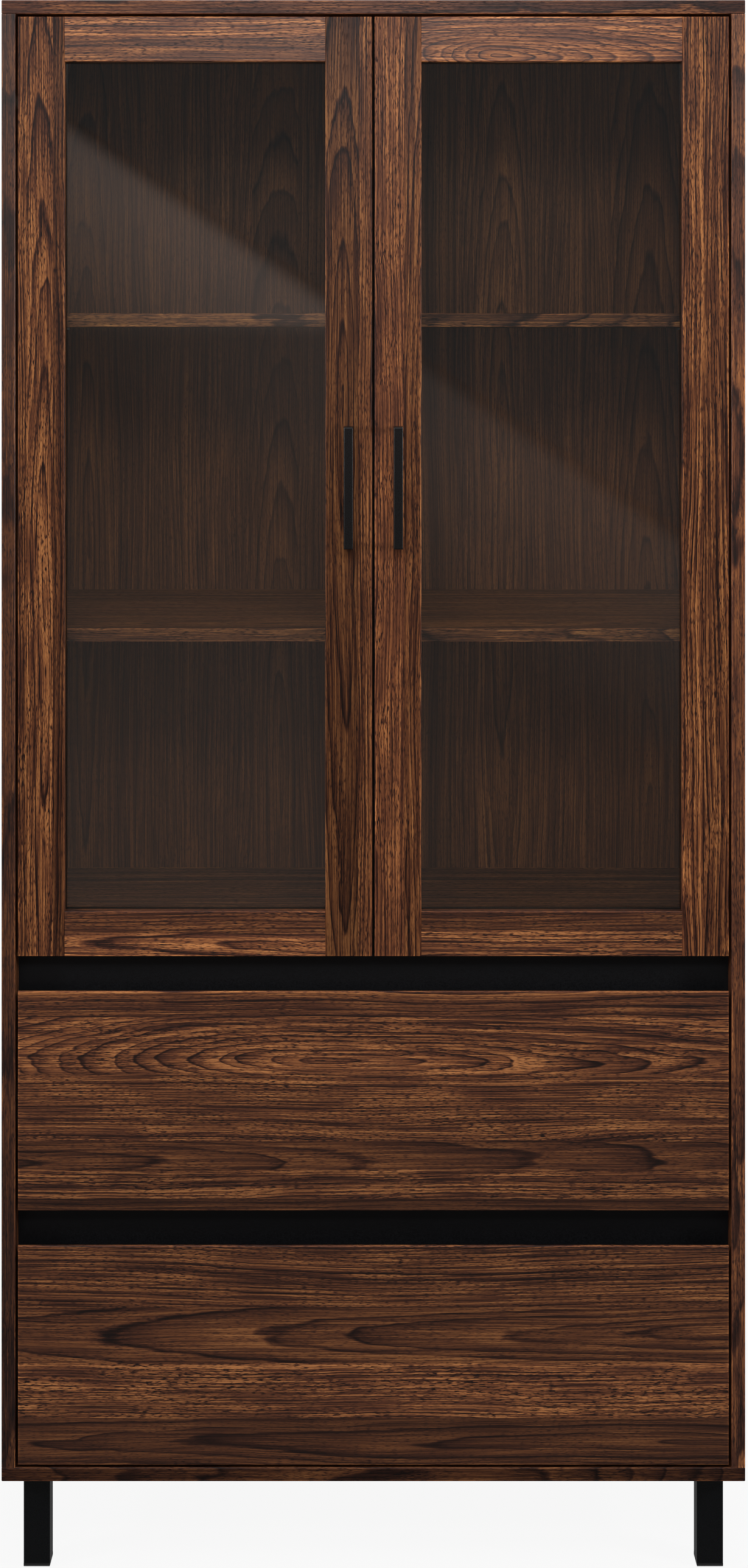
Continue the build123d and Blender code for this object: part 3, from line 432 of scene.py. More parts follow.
# planks from each board's low side: width, heart over the plank's low edge and eye from the board's middle
# (mm), slope of the cut, ring width (mm), tone, contrast and speckle
BOARD_PLANKS = {
    "upper_drawer_front": (FRONT_LYING, (
        (13, -60, 0, 0.02, 5.0, 0.45, 0.7, 0.4),
        (31, -40, 200, 0.05, 4.0, 0.78, 1.3, 0.9),
        (31, 12, -520, 0.035, 6.0, 0.58, 0.9, 0.4),
        (74, 140, -100, 0.03, 3.5, 0.88, 1.2, 1.0),
        (62, 16, -60, -0.11, 4.2, 1.03, 1.2, 0.7),
        (29, 60, 100, 0.06, 8.0, 0.82, 1.0, 0.5),
    )),
    "lower_drawer_front": (FRONT_LYING, (
        (51, 24, 420, 0.05, 7.0, 0.56, 0.8, 0.4),
        (60, -90, 0, 0.02, 4.0, 1.05, 1.1, 1.2),
        (61, 30, 430, 0.09, 8.0, 0.67, 0.95, 0.4),
        (68, 110, 300, 0.07, 5.0, 0.78, 1.15, 0.9),
    )),
    "left_top_rail": (FRONT_LYING, (
        (24, -70, 0, 0.03, 4.0, 0.95, 0.9, 1.1),
        (27, 90, 0, 0.03, 4.0, 1.2, 1.1, 0.9),
    )),
    "left_bottom_rail": (FRONT_LYING, (
        (25, 10, 200, 0.06, 5.0, 1.25, 1.1, 0.9),
        (26, 80, 0, 0.03, 4.0, 0.8, 0.8, 0.9),
    )),
    "right_top_rail": (FRONT_LYING, (
        (51, 8, -60, -0.2, 4.0, 1.3, 1.1, 0.7),
    )),
    "right_bottom_rail": (FRONT_LYING, (
        (28, -30, 100, 0.08, 5.0, 1.05, 1.3, 0.8),
        (23, 80, 0, 0.03, 4.0, 0.62, 0.8, 0.8),
    )),
    "left_hinge_stile": (FRONT_STANDING, (
        (10, -60, 0, 0.02, 4.0, 0.78, 1.25, 0.9),
        (28, 20, -100, 0.04, 5.0, 0.87, 1.35, 0.8),
        (13, -40, 0, 0.03, 5.0, 0.56, 1.0, 0.6),
    )),
    "left_meeting_stile": (FRONT_STANDING, (
        (36, 22, 100, 0.06, 7.0, 0.44, 1.3, 0.35),
        (15, -60, 0, 0.02, 4.0, 0.74, 1.2, 0.5),
    )),
    "right_meeting_stile": (FRONT_STANDING, (
        (32, -90, 0, 0.02, 4.0, 1.1, 0.85, 1.0),
        (19, 30, 0, 0.04, 5.0, 0.7, 1.1, 0.5),
    )),
    "right_hinge_stile": (FRONT_STANDING, (
        (24, -70, 0, 0.02, 5.0, 0.92, 1.3, 0.6),
        (27, 60, 0, 0.03, 5.0, 0.84, 1.3, 0.6),
    )),
    "top_panel": (FLAT, (
        (120, -60, 100, 0.02, 4.0, 0.88, 1.0, 0.7),
        (140, 160, 0, 0.05, 5.0, 0.8, 0.9, 0.8),
        (120, 30, -150, 0.15, 5.0, 0.85, 1.0, 0.7),
    )),
    "bottom_panel": (FLAT, (
        (180, 20, 100, 0.12, 5.0, 0.42, 0.8, 0.7),
        (200, 160, 0, 0.05, 5.0, 0.6, 0.8, 0.7),
    )),
    "display_floor": (FLAT, (
        (160, 40, 100, 0.1, 5.0, 0.92, 0.9, 0.7),
        (210, -60, 0, 0.05, 5.0, 1.0, 0.9, 0.7),
    )),
    # its two lighter planks behind the front are painted light: the top made paler for the light falling on
    # it from above
    "lower_shelf": (FLAT, (
        (12, 40, 100, 0.1, 5.0, 0.66, 0.9, 0.7),
        (138, 28, 100, 0.1, 5.0, 1.15, 0.8, 0.7),
        (200, -60, 0, 0.05, 5.0, 1.3, 0.8, 0.7),
    )),
    "upper_shelf": (FLAT, (
        (170, 60, -100, 0.1, 5.0, 0.66, 0.9, 0.7),
        (180, -60, 0, 0.05, 5.0, 0.9, 0.9, 0.7),
    )),
    "left_side_panel": (SIDE_STANDING, (
        (90, 30, 200, 0.04, 6.0, 0.5, 0.9, 0.6),
        (110, -60, 0, 0.02, 5.0, 0.7, 0.9, 0.8),
        (80, 40, -300, 0.06, 6.0, 0.8, 1.0, 0.7),
        (110, 140, 0, 0.02, 5.0, 0.65, 0.9, 0.9),
    )),
    "right_side_panel": (SIDE_STANDING, (
        (90, -30, 200, 0.04, 5.0, 0.88, 0.9, 0.7),
        (110, 60, 0, 0.06, 6.0, 0.7, 0.9, 0.7),
        (80, 140, -300, 0.02, 5.0, 0.8, 1.0, 0.9),
        (110, 40, 300, 0.04, 6.0, 0.7, 0.9, 0.6),
    )),
    # its darker fourth plank, behind the meeting stiles, is painted shade: the stiles' shadow on the back
    # panel
    "back_panel": (FRONT_STANDING, (
        (110, 30, 200, 0.05, 7.0, 0.9, 0.6, 0.2),
        (130, 160, 0, 0.03, 6.0, 0.85, 0.6, 0.25),
        (60, 40, -100, 0.07, 7.0, 0.85, 0.6, 0.2),
        (202, -60, 0, 0.03, 6.0, 0.78, 0.5, 0.25),
        (88, 60, 300, 0.06, 7.0, 1.08, 0.65, 0.2),
        (110, -50, 0, 0.03, 6.0, 1.06, 0.5, 0.25),
        (120, 50, -200, 0.05, 7.0, 1.12, 0.5, 0.2),
    )),
}


class CABINET_OT_walnut_boards(bpy.types.Operator):
    """Gives every walnut board its own planks of grain"""

    bl_idname = "cabinet.walnut_boards"
    bl_label = "Walnut boards"

    def execute(self, context):
        for number, (node, (axes, planks)) in enumerate(BOARD_PLANKS.items(), start=1):
            walnut_board(node, axes, planks, number * BOARD_SEED)
        return {"FINISHED"}


# Plain finishes

# detail of a plain finish's noise, the levels between which it works, and the strength of its relief
GRIT_DETAIL, GRIT_LOW, GRIT_HIGH, GRIT_STRENGTH = 2, 0.3, 0.7, 0.6
# scale along the streaks of paper foil, the rolling marks of steel strip and the flecks of beech
FOIL_STREAK, ROLLING_MARK, BEECH_FLECK = 0.04, 0.03, 0.15
# what the zinc plate of screws, bolts and pins has in common
ZINC_PLATE = {
    "size_mm": 1.0, "spread": (0.85, 1.05), "rough": (0.28, 0.42), "depth": 0.01 * MM, "metallic": 1.0
}


def plain_finish(
    name, base, size_mm=2.0, spread=(0.8, 1.25), rough=(0.4, 0.5), depth=0.02 * MM, stretch=(1, 1, 1),
    **sockets,
):
    """A finish in one of the hardware's colours, with tone, gloss and surface mottled at one real size."""
    base_colour = getattr(scene_part("cabinet_hardware"), base)
    made, tree, shader = start_material(name, **sockets)
    scaled = add_node(tree, "VectorMath", [place_in_mm(tree), stretch], operation="MULTIPLY")
    noise = add_node(tree, "TexNoise", {"Vector": scaled, "Scale": 1 / size_mm, "Detail": GRIT_DETAIL})
    grit = add_node(tree, "MapRange", [noise, GRIT_LOW, GRIT_HIGH, 0, 1])
    stops = [(spot, [part * level for part in base_colour]) for spot, level in enumerate(spread)]
    hue = add_node(tree, "ValToRGB", {"Fac": grit}, stops)
    gloss = add_node(tree, "MapRange", [grit, 0, 1, *rough])
    bump = add_node(tree, "Bump", {"Strength": GRIT_STRENGTH, "Distance": depth, "Height": grit})
    fill_inputs(tree, shader, {"Base Color": hue, "Roughness": gloss, "Normal": bump})
    return made


# New pieces

# two points of a CAD mesh nearer than this are one
MERGE = 0.001 * MM
# the turn between two faces below which they are one, and over which their edge is sharp
FLAT_ANGLE, SHARP_ANGLE = math.radians(1), math.radians(30)
# the rounding of a handle's edges, and the steps of it
HANDLE_EASE, EASE_STEPS = 0.8 * MM, 3


def make_mesh(name, shape):
    """A new object at the origin from a bmesh."""
    mesh = bpy.data.meshes.new(name)
    shape.to_mesh(mesh)
    shape.free()
    made = bpy.data.objects.new(name, mesh)
    bpy.context.scene.collection.objects.link(made)
    return made


def add_piece(name, shape, body, node, material):
    """A new piece that rides on a body, in place of a CAD node where one is given."""
    made = make_mesh(name, shape)
    made.data.materials.append(material)
    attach(made, body)
    if node:
        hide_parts(node)


def merged_copy(node):
    """A CAD node's mesh as a bmesh, with its loose triangles joined."""
    shape = bmesh.new()
    shape.from_mesh(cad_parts[node].data)
    bmesh.ops.remove_doubles(shape, verts=shape.verts, dist=MERGE)
    return shape


def bar_handle(side, material):
    """A CAD handle with its sharp edges rounded, as paint leaves them, apart from those of its seat."""
    node = f"{side}_handle"
    shape = merged_copy(node)
    bmesh.ops.dissolve_limit(shape, angle_limit=FLAT_ANGLE, verts=shape.verts, edges=shape.edges)
    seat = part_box(node)[1].y - MERGE
    sharp = [
        edge for edge in shape.edges
        if edge.is_convex and edge.calc_face_angle() > SHARP_ANGLE
        and min(vert.co.y for vert in edge.verts) < seat
    ]
    bmesh.ops.bevel(
        shape, geom=sharp, offset=HANDLE_EASE, offset_type="OFFSET", segments=EASE_STEPS, profile=0.5,
        affect="EDGES", material=-1, clamp_overlap=True,
    )
    bmesh.ops.dissolve_degenerate(shape, edges=shape.edges, dist=MERGE)
    bmesh.ops.remove_doubles(shape, verts=shape.verts, dist=MERGE)
    add_piece(f"{side}_bar_handle", shape, f"{side}_door", node, material)


# Black boards, paint and plastic


class CABINET_OT_black_boards(bpy.types.Operator):
    """Finishes the recessed finger rails in black foil"""

    bl_idname = "cabinet.black_boards"
    bl_label = "Finger rails"

    def execute(self, context):
        # black melamine foil: an even, nearly matt black with a faint pressed grit
        foil = plain_finish(
            "black melamine foil", "board", size_mm=1.5, rough=(0.45, 0.6), specular_ior_level=0.2
        )
        finish_nodes(foil, "upper_finger_rail", "lower_finger_rail")
        return {"FINISHED"}


class CABINET_OT_metalwork(bpy.types.Operator):
    """Paints the legs and handles, and finishes the glides"""

    bl_idname = "cabinet.metalwork"
    bl_label = "Legs and handles"

    def execute(self, context):
        peel = scene_part("cabinet_hardware").peel
        # baked powder coat on steel: satin black, with a fine orange peel that breaks the highlights
        paint = plain_finish(
            "black powder coat", "paint", size_mm=peel / MM, rough=(0.26, 0.34), depth=0.01 * MM,
            specular_ior_level=0.25,
        )
        finish_nodes(paint, *(f"{end}_{side}_leg" for end in ("front", "rear") for side in SIDES))
        for side in SIDES:
            bar_handle(side, paint)
        # moulded polyethylene: soft black with a spark-eroded grain
        plastic = plain_finish("moulded black plastic", "plastic", size_mm=0.8, rough=(0.5, 0.65))
        finish_nodes(plastic, "leg_glides")
        return {"FINISHED"}


# Glass


class CABINET_OT_glazing(bpy.types.Operator):
    """Glazes the doors"""

    bl_idname = "cabinet.glazing"
    bl_label = "Glass"

    def execute(self, context):
        glass = scene_part("cabinet_glass")
        # float glass: clear, flat and smooth, with a grey-green cast; its shadow is only a faint tint
        made, tree, shader = start_material(
            "clear float glass", base_color=solid(glass.tint), roughness=0.0, transmission_weight=1.0,
            ior=glass.ior,
        )
        passing = add_node(tree, "BsdfTransparent", {"Color": solid(glass.tint)})
        shadow = add_node(tree, "LightPath").outputs["Is Shadow Ray"]
        mixed = add_node(tree, "MixShader", [shadow, shader, passing])
        set_surface(tree, mixed)
        finish_nodes(made, "left_glass", "right_glass")
        # extruded PVC strip: matt black
        bead = plain_finish("black glazing strip", "bead", size_mm=1.2, rough=(0.5, 0.62))
        finish_nodes(bead, "left_glass_beads", "right_glass_beads")
        return {"FINISHED"}


# Black seal between the doors, which darkens their gap as painted shade

# free gap to the left door, breadth from front to back, and how far behind the doors' face the seal begins
SEAL_CLEARANCE, SEAL_BREADTH, SEAL_SETBACK = 0.4 * MM, 6 * MM, 4 * MM
SEAL_SIDES = 16


class CABINET_OT_gap_shade_seal(bpy.types.Operator):
    """Closes the gap between the doors with a black bulb seal on the right door's edge, a dark strip that
    stands in for the gap's shade
    """

    bl_idname = "cabinet.dust_seal"
    bl_label = "Gap shade seal"

    def execute(self, context):
        low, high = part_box("right_meeting_stile")
        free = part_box("left_meeting_stile")[1].x + SEAL_CLEARANCE
        reach = low.x - free
        middle = Vector((low.x, low.y + SEAL_SETBACK + SEAL_BREADTH / 2, low.z))
        shape = bmesh.new()
        bmesh.ops.create_circle(shape, cap_ends=True, segments=SEAL_SIDES, radius=1)
        bmesh.ops.scale(shape, vec=(reach, SEAL_BREADTH / 2, 1), verts=shape.verts)
        bmesh.ops.bisect_plane(
            shape, geom=[*shape.verts, *shape.edges, *shape.faces], dist=MERGE, plane_co=(0, 0, 0),
            plane_no=(1, 0, 0), clear_outer=True,
        )
        bmesh.ops.translate(shape, vec=middle, verts=shape.verts)
        grown = bmesh.ops.extrude_face_region(shape, geom=shape.faces[:], use_keep_orig=True)["geom"]
        top = [vert for vert in grown if isinstance(vert, bmesh.types.BMVert)]
        bmesh.ops.translate(shape, vec=(0, 0, high.z - low.z), verts=top)
        bmesh.ops.recalc_face_normals(shape, faces=shape.faces)
        # thermoplastic rubber: soft matt black; as painted shade, it makes the gap between the doors dark
        rubber = plain_finish(
            "black rubber seal", "bead", size_mm=1.2, rough=(0.6, 0.75), specular_ior_level=0.1
        )
        add_piece("door_dust_seal", shape, "right_door", None, rubber)
        return {"FINISHED"}


# Drawers, slides, hinges and fittings


class CABINET_OT_drawer_boxes(bpy.types.Operator):
    """Finishes the boards of the drawer boxes"""

    bl_idname = "cabinet.drawer_boxes"
    bl_label = "Drawer boxes"

    def execute(self, context):
        # paper foil on particle board: plain brown with a quiet printed streak along each board
        paper = {"size_mm": 1.4, "spread": (0.75, 1.2), "rough": (0.5, 0.6)}
        along_y = plain_finish("brown paper foil along", "drawer", stretch=(1, FOIL_STREAK, 1), **paper)
        along_x = plain_finish("brown paper foil across", "drawer", stretch=(FOIL_STREAK, 1, 1), **paper)
        for level in LEVELS:
            finish_nodes(along_y, f"{level}_drawer_left_side", f"{level}_drawer_right_side")
            finish_nodes(along_x, f"{level}_drawer_back", f"{level}_drawer_bottom")
        return {"FINISHED"}


class CABINET_OT_slides(bpy.types.Operator):
    """Finishes the telescopic slides"""

    bl_idname = "cabinet.slides"
    bl_label = "Slides"

    def execute(self, context):
        # zinc-plated steel strip: cool grey, with rolling marks along the slide
        zinc = plain_finish(
            "zinc plated strip", "zinc", size_mm=0.9, spread=(0.85, 1.05), rough=(0.26, 0.4),
            depth=0.01 * MM, stretch=(1, ROLLING_MARK, 1), metallic=1.0,
        )
        finish_nodes(zinc, "outer_slides")
        for level in LEVELS:
            finish_nodes(zinc, f"{level}_middle_slides", f"{level}_inner_slides")
        return {"FINISHED"}


class CABINET_OT_hinges(bpy.types.Operator):
    """Finishes the concealed hinges"""

    bl_idname = "cabinet.hinges"
    bl_label = "Hinges"

    def execute(self, context):
        # nickel-plated pressed steel: warm bright grey, slightly clouded by the press
        nickel = plain_finish(
            "nickel plated steel", "nickel", size_mm=3.0, spread=(0.93, 1.03), rough=(0.2, 0.27),
            depth=0.002 * MM, metallic=1.0,
        )
        for side in SIDES:
            finish_nodes(nickel, f"{side}_hinge_arms", f"{side}_hinge_cups", f"{side}_hinge_pins")
        return {"FINISHED"}


# a pan-head screw's dome, in shares of the head's radius and height
HEAD_DOME = ((0, 1), (0.55, 1), (0.8, 0.86), (0.94, 0.55), (1, 0.2), (1, 0))
HEAD_HEIGHT = 1.8 * MM
# radius over and between the threads, their pitch, and the point's length, in shares of the head's radius
SHANK, CORE, PITCH, POINT = 0.46, 0.32, 0.4, 0.9
# the share of a pitch in which a thread widens from core to shank
THREAD_FLANK = 0.3
# half the breadth, half the length and the depth of the cross recess, in shares of the head's radius
RECESS = (0.12, 0.46, 0.36)
SPIN_STEPS = 24


def cross_recess(shape, radius, top):
    """Cuts a screwdriver's cross into a head's flat top."""
    half, reach, depth = (part * radius for part in RECESS)
    for axis in (Vector((1, 0, 0)), Vector((0, 1, 0))):
        for offset in (-reach, -half, half, reach):
            faces = [face for face in shape.faces if face.calc_center_median().z > top - MERGE]
            edges = {edge for face in faces for edge in face.edges}
            verts = {vert for face in faces for vert in face.verts}
            bmesh.ops.bisect_plane(
                shape, geom=[*verts, *edges, *faces], dist=MERGE, plane_co=axis * offset, plane_no=axis
            )
    cross = []
    for face in shape.faces:
        middle = face.calc_center_median()
        near, far = sorted((abs(middle.x), abs(middle.y)))
        if middle.z > top - MERGE and near < half and far < reach:
            cross.append(face)
    pushed = bmesh.ops.extrude_face_region(shape, geom=cross)["geom"]
    sunk = [vert for vert in pushed if isinstance(vert, bmesh.types.BMVert)]
    bmesh.ops.translate(shape, vec=(0, 0, -depth), verts=sunk)
    bmesh.ops.delete(shape, geom=cross, context="FACES")


def pan_screw(radius, reach):
    """A screw along z with its head's seat at the origin: a dome with a cross recess, and a thread."""
    shape = bmesh.new()
    profile = [(across * radius, up * HEAD_HEIGHT) for across, up in HEAD_DOME]
    profile.append((SHANK * radius, 0))
    pitch = PITCH * radius
    for turn in range(1, int((reach - POINT * radius) / pitch)):
        profile += [(CORE * radius, -(turn - THREAD_FLANK) * pitch), (SHANK * radius, -turn * pitch)]
    profile += [(CORE * radius, POINT * radius - reach), (0, -reach)]
    verts = [shape.verts.new((across, 0, up)) for across, up in profile]
    edges = [shape.edges.new(pair) for pair in zip(verts, verts[1:])]
    bmesh.ops.spin(
        shape, geom=verts + edges, cent=(0, 0, 0), axis=(0, 0, 1), angle=math.tau, steps=SPIN_STEPS,
        use_merge=True,
    )
    bmesh.ops.remove_doubles(shape, verts=shape.verts, dist=MERGE)
    bmesh.ops.recalc_face_normals(shape, faces=shape.faces)
    cross_recess(shape, radius, HEAD_HEIGHT)
    return shape


def solid_boxes(node):
    """The lowest and highest corners of each separate solid of a CAD node."""
    shape = merged_copy(node)
    boxes = []
    seen = set()
    for start in shape.verts:
        if start in seen:
            continue
        seen.add(start)
        reach = [start]
        for vert in reach:
            fresh = [edge.other_vert(vert) for edge in vert.link_edges if edge.other_vert(vert) not in seen]
            seen.update(fresh)
            reach += fresh
        spread = list(zip(*(vert.co for vert in reach)))
        boxes.append([Vector(map(pick, spread)) for pick in (min, max)])
    shape.free()
    return boxes


def turned_screws(node, body, way, material):
    """Round screws in place of a node's plain ones. Heads look the way given, or to the cabinet's middle."""
    name = node.replace("_screws", "_pan_screws")
    shape = bmesh.new()
    for low, high in solid_boxes(node):
        middle = (low + high) / 2
        look = Vector((-math.copysign(1, middle.x), 0, 0)) if way is None else way
        along = max(range(3), key=lambda axis: abs(look[axis]))
        size = high - low
        radius = max(size[axis] for axis in range(3) if axis != along) / 2
        seat = middle + look * (size[along] / 2 - HEAD_HEIGHT)
        turn = Vector((0, 0, 1)).rotation_difference(look).to_matrix().to_4x4()
        screw = pan_screw(radius, size[along] - HEAD_HEIGHT)
        bmesh.ops.transform(screw, matrix=Matrix.Translation(seat) @ turn, verts=screw.verts)
        pattern = bpy.data.meshes.new(name)
        screw.to_mesh(pattern)
        screw.free()
        shape.from_mesh(pattern)
        bpy.data.meshes.remove(pattern)
    add_piece(name, shape, body, node, material)


class CABINET_OT_screws(bpy.types.Operator):
    """Makes the screws of legs, hinges and handles with round heads and cross recesses"""

    bl_idname = "cabinet.screws"
    bl_label = "Screws"

    def execute(self, context):
        # zinc-plated steel: cool grey, clouded by the plating bath
        zinc = plain_finish("zinc plated screws", "zinc", **ZINC_PLATE)
        down, back = Vector((0, 0, -1)), Vector((0, 1, 0))
        turned_screws("leg_screws", "carcass", down, zinc)
        turned_screws("hinge_arm_screws", "carcass", None, zinc)
        for side in SIDES:
            for kind in ("cup", "handle"):
                turned_screws(f"{side}_{kind}_screws", f"{side}_door", back, zinc)
        return {"FINISHED"}


class CABINET_OT_fittings(bpy.types.Operator):
    """Finishes shelf pins, cams, bolts and dowels"""

    bl_idname = "cabinet.fittings"
    bl_label = "Fittings"

    def execute(self, context):
        # zinc-plated steel: cool grey, clouded by the plating bath
        zinc = plain_finish("zinc plated pins", "zinc", **ZINC_PLATE)
        finish_nodes(zinc, "cam_bolts", "shelf_pins")
        # zinc die casting: dull grey with a fine sandy skin
        casting = plain_finish(
            "zinc die casting", "casting", size_mm=0.7, spread=(0.8, 1.1), rough=(0.42, 0.58), metallic=1.0
        )
        finish_nodes(casting, "cam_locks")
        # turned beech: pale pinkish brown with short darker flecks along the dowel
        beech = plain_finish(
            "turned beech", "beech", size_mm=0.8, spread=(0.7, 1.1), rough=(0.55, 0.7),
            stretch=(BEECH_FLECK, 1, 1),
        )
        finish_nodes(beech, "wood_dowels")
        return {"FINISHED"}


# Studio

# how far the photograph's framing shifts the picture, in shares of its longer side
CAMERA_SHIFT = (0.0004, -0.2864)
# where each softbox stands, what it faces, and its width and height (m)
LAMPS = {
    "key": ((0, -2.1, 2.14), (0, -0.1, 1.1), (1.3, 0.4)),
    "wide": ((-0.6, -2.4, 3.1), (0, -0.1, 1.2), (3.0, 1.7)),
    "left": ((-2.0, -0.85, 1.4), (0, -0.2, 1.2), (0.3, 0.3)),
    "right": ((2.0, -0.85, 1.4), (0, -0.2, 1.2), (0.3, 0.3)),
    "back": ((0.6, 2.8, 2.8), (0, 0.2, 0.9), (2.4, 1.6)),
}
WHITE = solid(linear("#ffffff"))
# half the floor's side (m) and its roughness
FLOOR_HALF, FLOOR_ROUGHNESS = 12, 0.9
# how white it shows near the cabinet in any light, and the distances (m) over which it grows to full white
FLOOR_GLOW, FLOOR_NEAR, FLOOR_FAR = 0.92, 0.6, 2.4
# brightness of the unlit room in front of the cabinet
DARK_ROOM = 0.17
# half its width, its height, how far its wall stands behind the camera, and how high its floor card lies (m)
ROOM_HALF, ROOM_HEIGHT, ROOM_BEHIND, CARD_LIFT = 5, 4.5, 1.2, 0.002
# brightness and colour of the softbox that both panes mirror
MIRRORED_SOFTBOX, MIRRORED_COLOUR = 0.85, "#ffe6da"
# the ends of its slanting edge (across and up), and how soft that edge is (m)
EDGE_ENDS, EDGE_SOFT = ((-1.6, 2.47), (0.8, 0.85)), 0.05
# distances from that edge (m) between which its light fades, and the share that is left
FADE_START, FADE_END, FADE_SHARE = 0.09, 0.45, 0.1
# heights (m) below which it is dim and over which it is full, and the share that it has where it is dim:
# painted shade of the upper shelf in its reflection
DIM_BELOW, FULL_ABOVE, DIM_SHARE = 1.35, 1.41, 0.36
# the room's glow low on the left: its brightness, and the heights (m) at which it starts and is full
LOW_LEFT_GLOW, GLOW_TOP, GLOW_FULL = 0.17, 1.4, 0.4
# places across (m) between which that glow ends
GLOW_LEFT, GLOW_END = -0.2, 0.3


def seen_rays(tree):
    """One for camera, glossy and transmission rays, and none for the rays that light the object."""
    path = add_node(tree, "LightPath").outputs
    direct = add_node(tree, "Math", [path["Is Camera Ray"], path["Is Glossy Ray"]], operation="MAXIMUM")
    return add_node(tree, "Math", [direct, path["Is Transmission Ray"]], operation="MAXIMUM")


def mirrored_rays(tree):
    """One for what a pane's far face mirrors and its near face lets out, which shows the dark room too."""
    path = add_node(tree, "LightPath").outputs
    both = [path["Glossy Depth"], path["Is Transmission Ray"]]
    return add_node(tree, "Math", both, operation="MULTIPLY", use_clamp=True)


def card(name, corners, material):
    """A stage card that only reflections see."""
    shape = bmesh.new()
    shape.faces.new([shape.verts.new(corner) for corner in corners])
    made = make_mesh(name, shape)
    made.data.materials.append(material)
    for ray in ("camera", "diffuse", "transmission", "volume_scatter", "shadow"):
        setattr(made, "visible_" + ray, False)


def add_camera(studio, plane):
    """The photograph's camera, level, in the plane given."""
    scene = bpy.context.scene
    camera = bpy.data.objects.new("photo camera", bpy.data.cameras.new("photo camera"))
    camera.location = (0, plane, studio.height)
    camera.rotation_euler = (math.pi / 2, 0, 0)
    camera.data.lens = studio.lens
    camera.data.shift_x, camera.data.shift_y = CAMERA_SHIFT
    scene.collection.objects.link(camera)
    scene.camera = camera


def add_world(studio):
    """A world that looks white, lights the object a little, and is dim in what a pane's far face mirrors."""
    world = bpy.data.worlds.new("white studio")
    bpy.context.scene.world = world
    world.use_nodes = True
    tree = world.node_tree
    tree.nodes.clear()
    even, white, dim = (
        add_node(tree, "Background", {"Color": WHITE, "Strength": strength})
        for strength in (studio.ambient, 1, DARK_ROOM)
    )
    mixed = add_node(tree, "MixShader", [seen_rays(tree), even, white])
    shown = add_node(tree, "MixShader", [mirrored_rays(tree), mixed, dim])
    add_node(tree, "OutputWorld", {"Surface": shown})


def add_floor(studio):
    """A pale floor that keeps the object's shadow and grows white away from it."""
    shape = bmesh.new()
    bmesh.ops.create_grid(shape, x_segments=1, y_segments=1, size=FLOOR_HALF)
    floor = make_mesh("floor", shape)
    made, tree, shader = start_material(
        "pale floor", base_color=solid(studio.floor), roughness=FLOOR_ROUGHNESS
    )
    spot = add_node(tree, "TexCoord").outputs["Object"]
    away = add_node(tree, "VectorMath", [spot], operation="LENGTH").outputs["Value"]
    lit = add_node(tree, "MapRange", [away, FLOOR_NEAR, FLOOR_FAR, FLOOR_GLOW, 1], **EASED)
    part = add_node(tree, "Math", [seen_rays(tree), lit], operation="MULTIPLY")
    bright, dim = (add_node(tree, "Emission", {"Strength": level}) for level in (1, DARK_ROOM))
    mixed = add_node(tree, "MixShader", [part, shader, bright])
    shown = add_node(tree, "MixShader", [mirrored_rays(tree), mixed, dim])
    set_surface(tree, shown)
    floor.data.materials.append(made)


def add_lamp(name, place, aim, size, watts):
    """A rectangular softbox that faces its aim, and that isn't seen through a pane."""
    light = bpy.data.lights.new(name, "AREA")
    light.shape = "RECTANGLE"
    light.size, light.size_y = size
    light.energy = watts
    made = bpy.data.objects.new(name, light)
    made.visible_transmission = False
    made.location = place
    made.rotation_euler = (Vector(aim) - Vector(place)).to_track_quat("-Z", "Y").to_euler()
    bpy.context.scene.collection.objects.link(made)


def add_dark_room(plane):
    """Cards for the unlit room that the panes mirror, from behind the camera to under the cabinet."""
    left, right = -ROOM_HALF, ROOM_HALF
    back = plane - ROOM_BEHIND
    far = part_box("rear_left_leg")[1].y
    dark = start_material("dark room", "Emission", strength=DARK_ROOM)[0]
    wall = ((left, back, 0), (right, back, 0), (right, back, ROOM_HEIGHT), (left, back, ROOM_HEIGHT))
    ground = [(*spot, CARD_LIFT) for spot in ((left, far), (right, far), (right, back), (left, back))]
    card("dark room wall", wall, dark)
    card("dark room floor", ground, dark)


def add_mirrored_softbox(plane):
    """A card in the camera's plane for the softbox whose slanting edge crosses both panes."""
    left, right = (Vector((across, plane, up)) for across, up in EDGE_ENDS)
    hue = solid(linear(MIRRORED_COLOUR))
    made, tree, light = start_material("reflected softbox", "Emission", color=hue)
    card("reflected softbox", (left, right, (right.x, plane, 0), (left.x, plane, 0)), made)
    place = add_node(tree, "TexCoord").outputs["Object"]
    split = add_node(tree, "SeparateXYZ", [place])
    across, up = split.outputs["X"], split.outputs["Z"]
    slant = Vector((0, 1, 0)).cross(right - left).normalized()
    edge = slant.dot(left)
    measured = add_node(tree, "VectorMath", [place, slant], operation="DOT_PRODUCT")
    inside = measured.outputs["Value"]
    soft, under_shelf_shade, near, low, leftward = (
        add_node(tree, "MapRange", values, **settings)
        for values, settings in (
            ((inside, edge, edge + EDGE_SOFT, 0, 1), EASED),
            # dim below the upper shelf: painted shade of the shelf in the reflection
            ((up, DIM_BELOW, FULL_ABOVE, DIM_SHARE, 1), EASED),
            ((inside, edge + FADE_START, edge + FADE_END, 1, FADE_SHARE), {}),
            ((up, GLOW_TOP, GLOW_FULL, 0, LOW_LEFT_GLOW), {}),
            ((across, GLOW_LEFT, GLOW_END, 1, 0), {}),
        )
    )
    level = soft
    for fade in (under_shelf_shade, near):
        level = add_node(tree, "Math", [level, fade], operation="MULTIPLY")
    room = add_node(tree, "Math", [low, leftward, DARK_ROOM], operation="MULTIPLY_ADD")
    strength = add_node(tree, "Math", [level, MIRRORED_SOFTBOX, room], operation="MULTIPLY_ADD")
    fill_inputs(tree, light, {"Strength": strength})


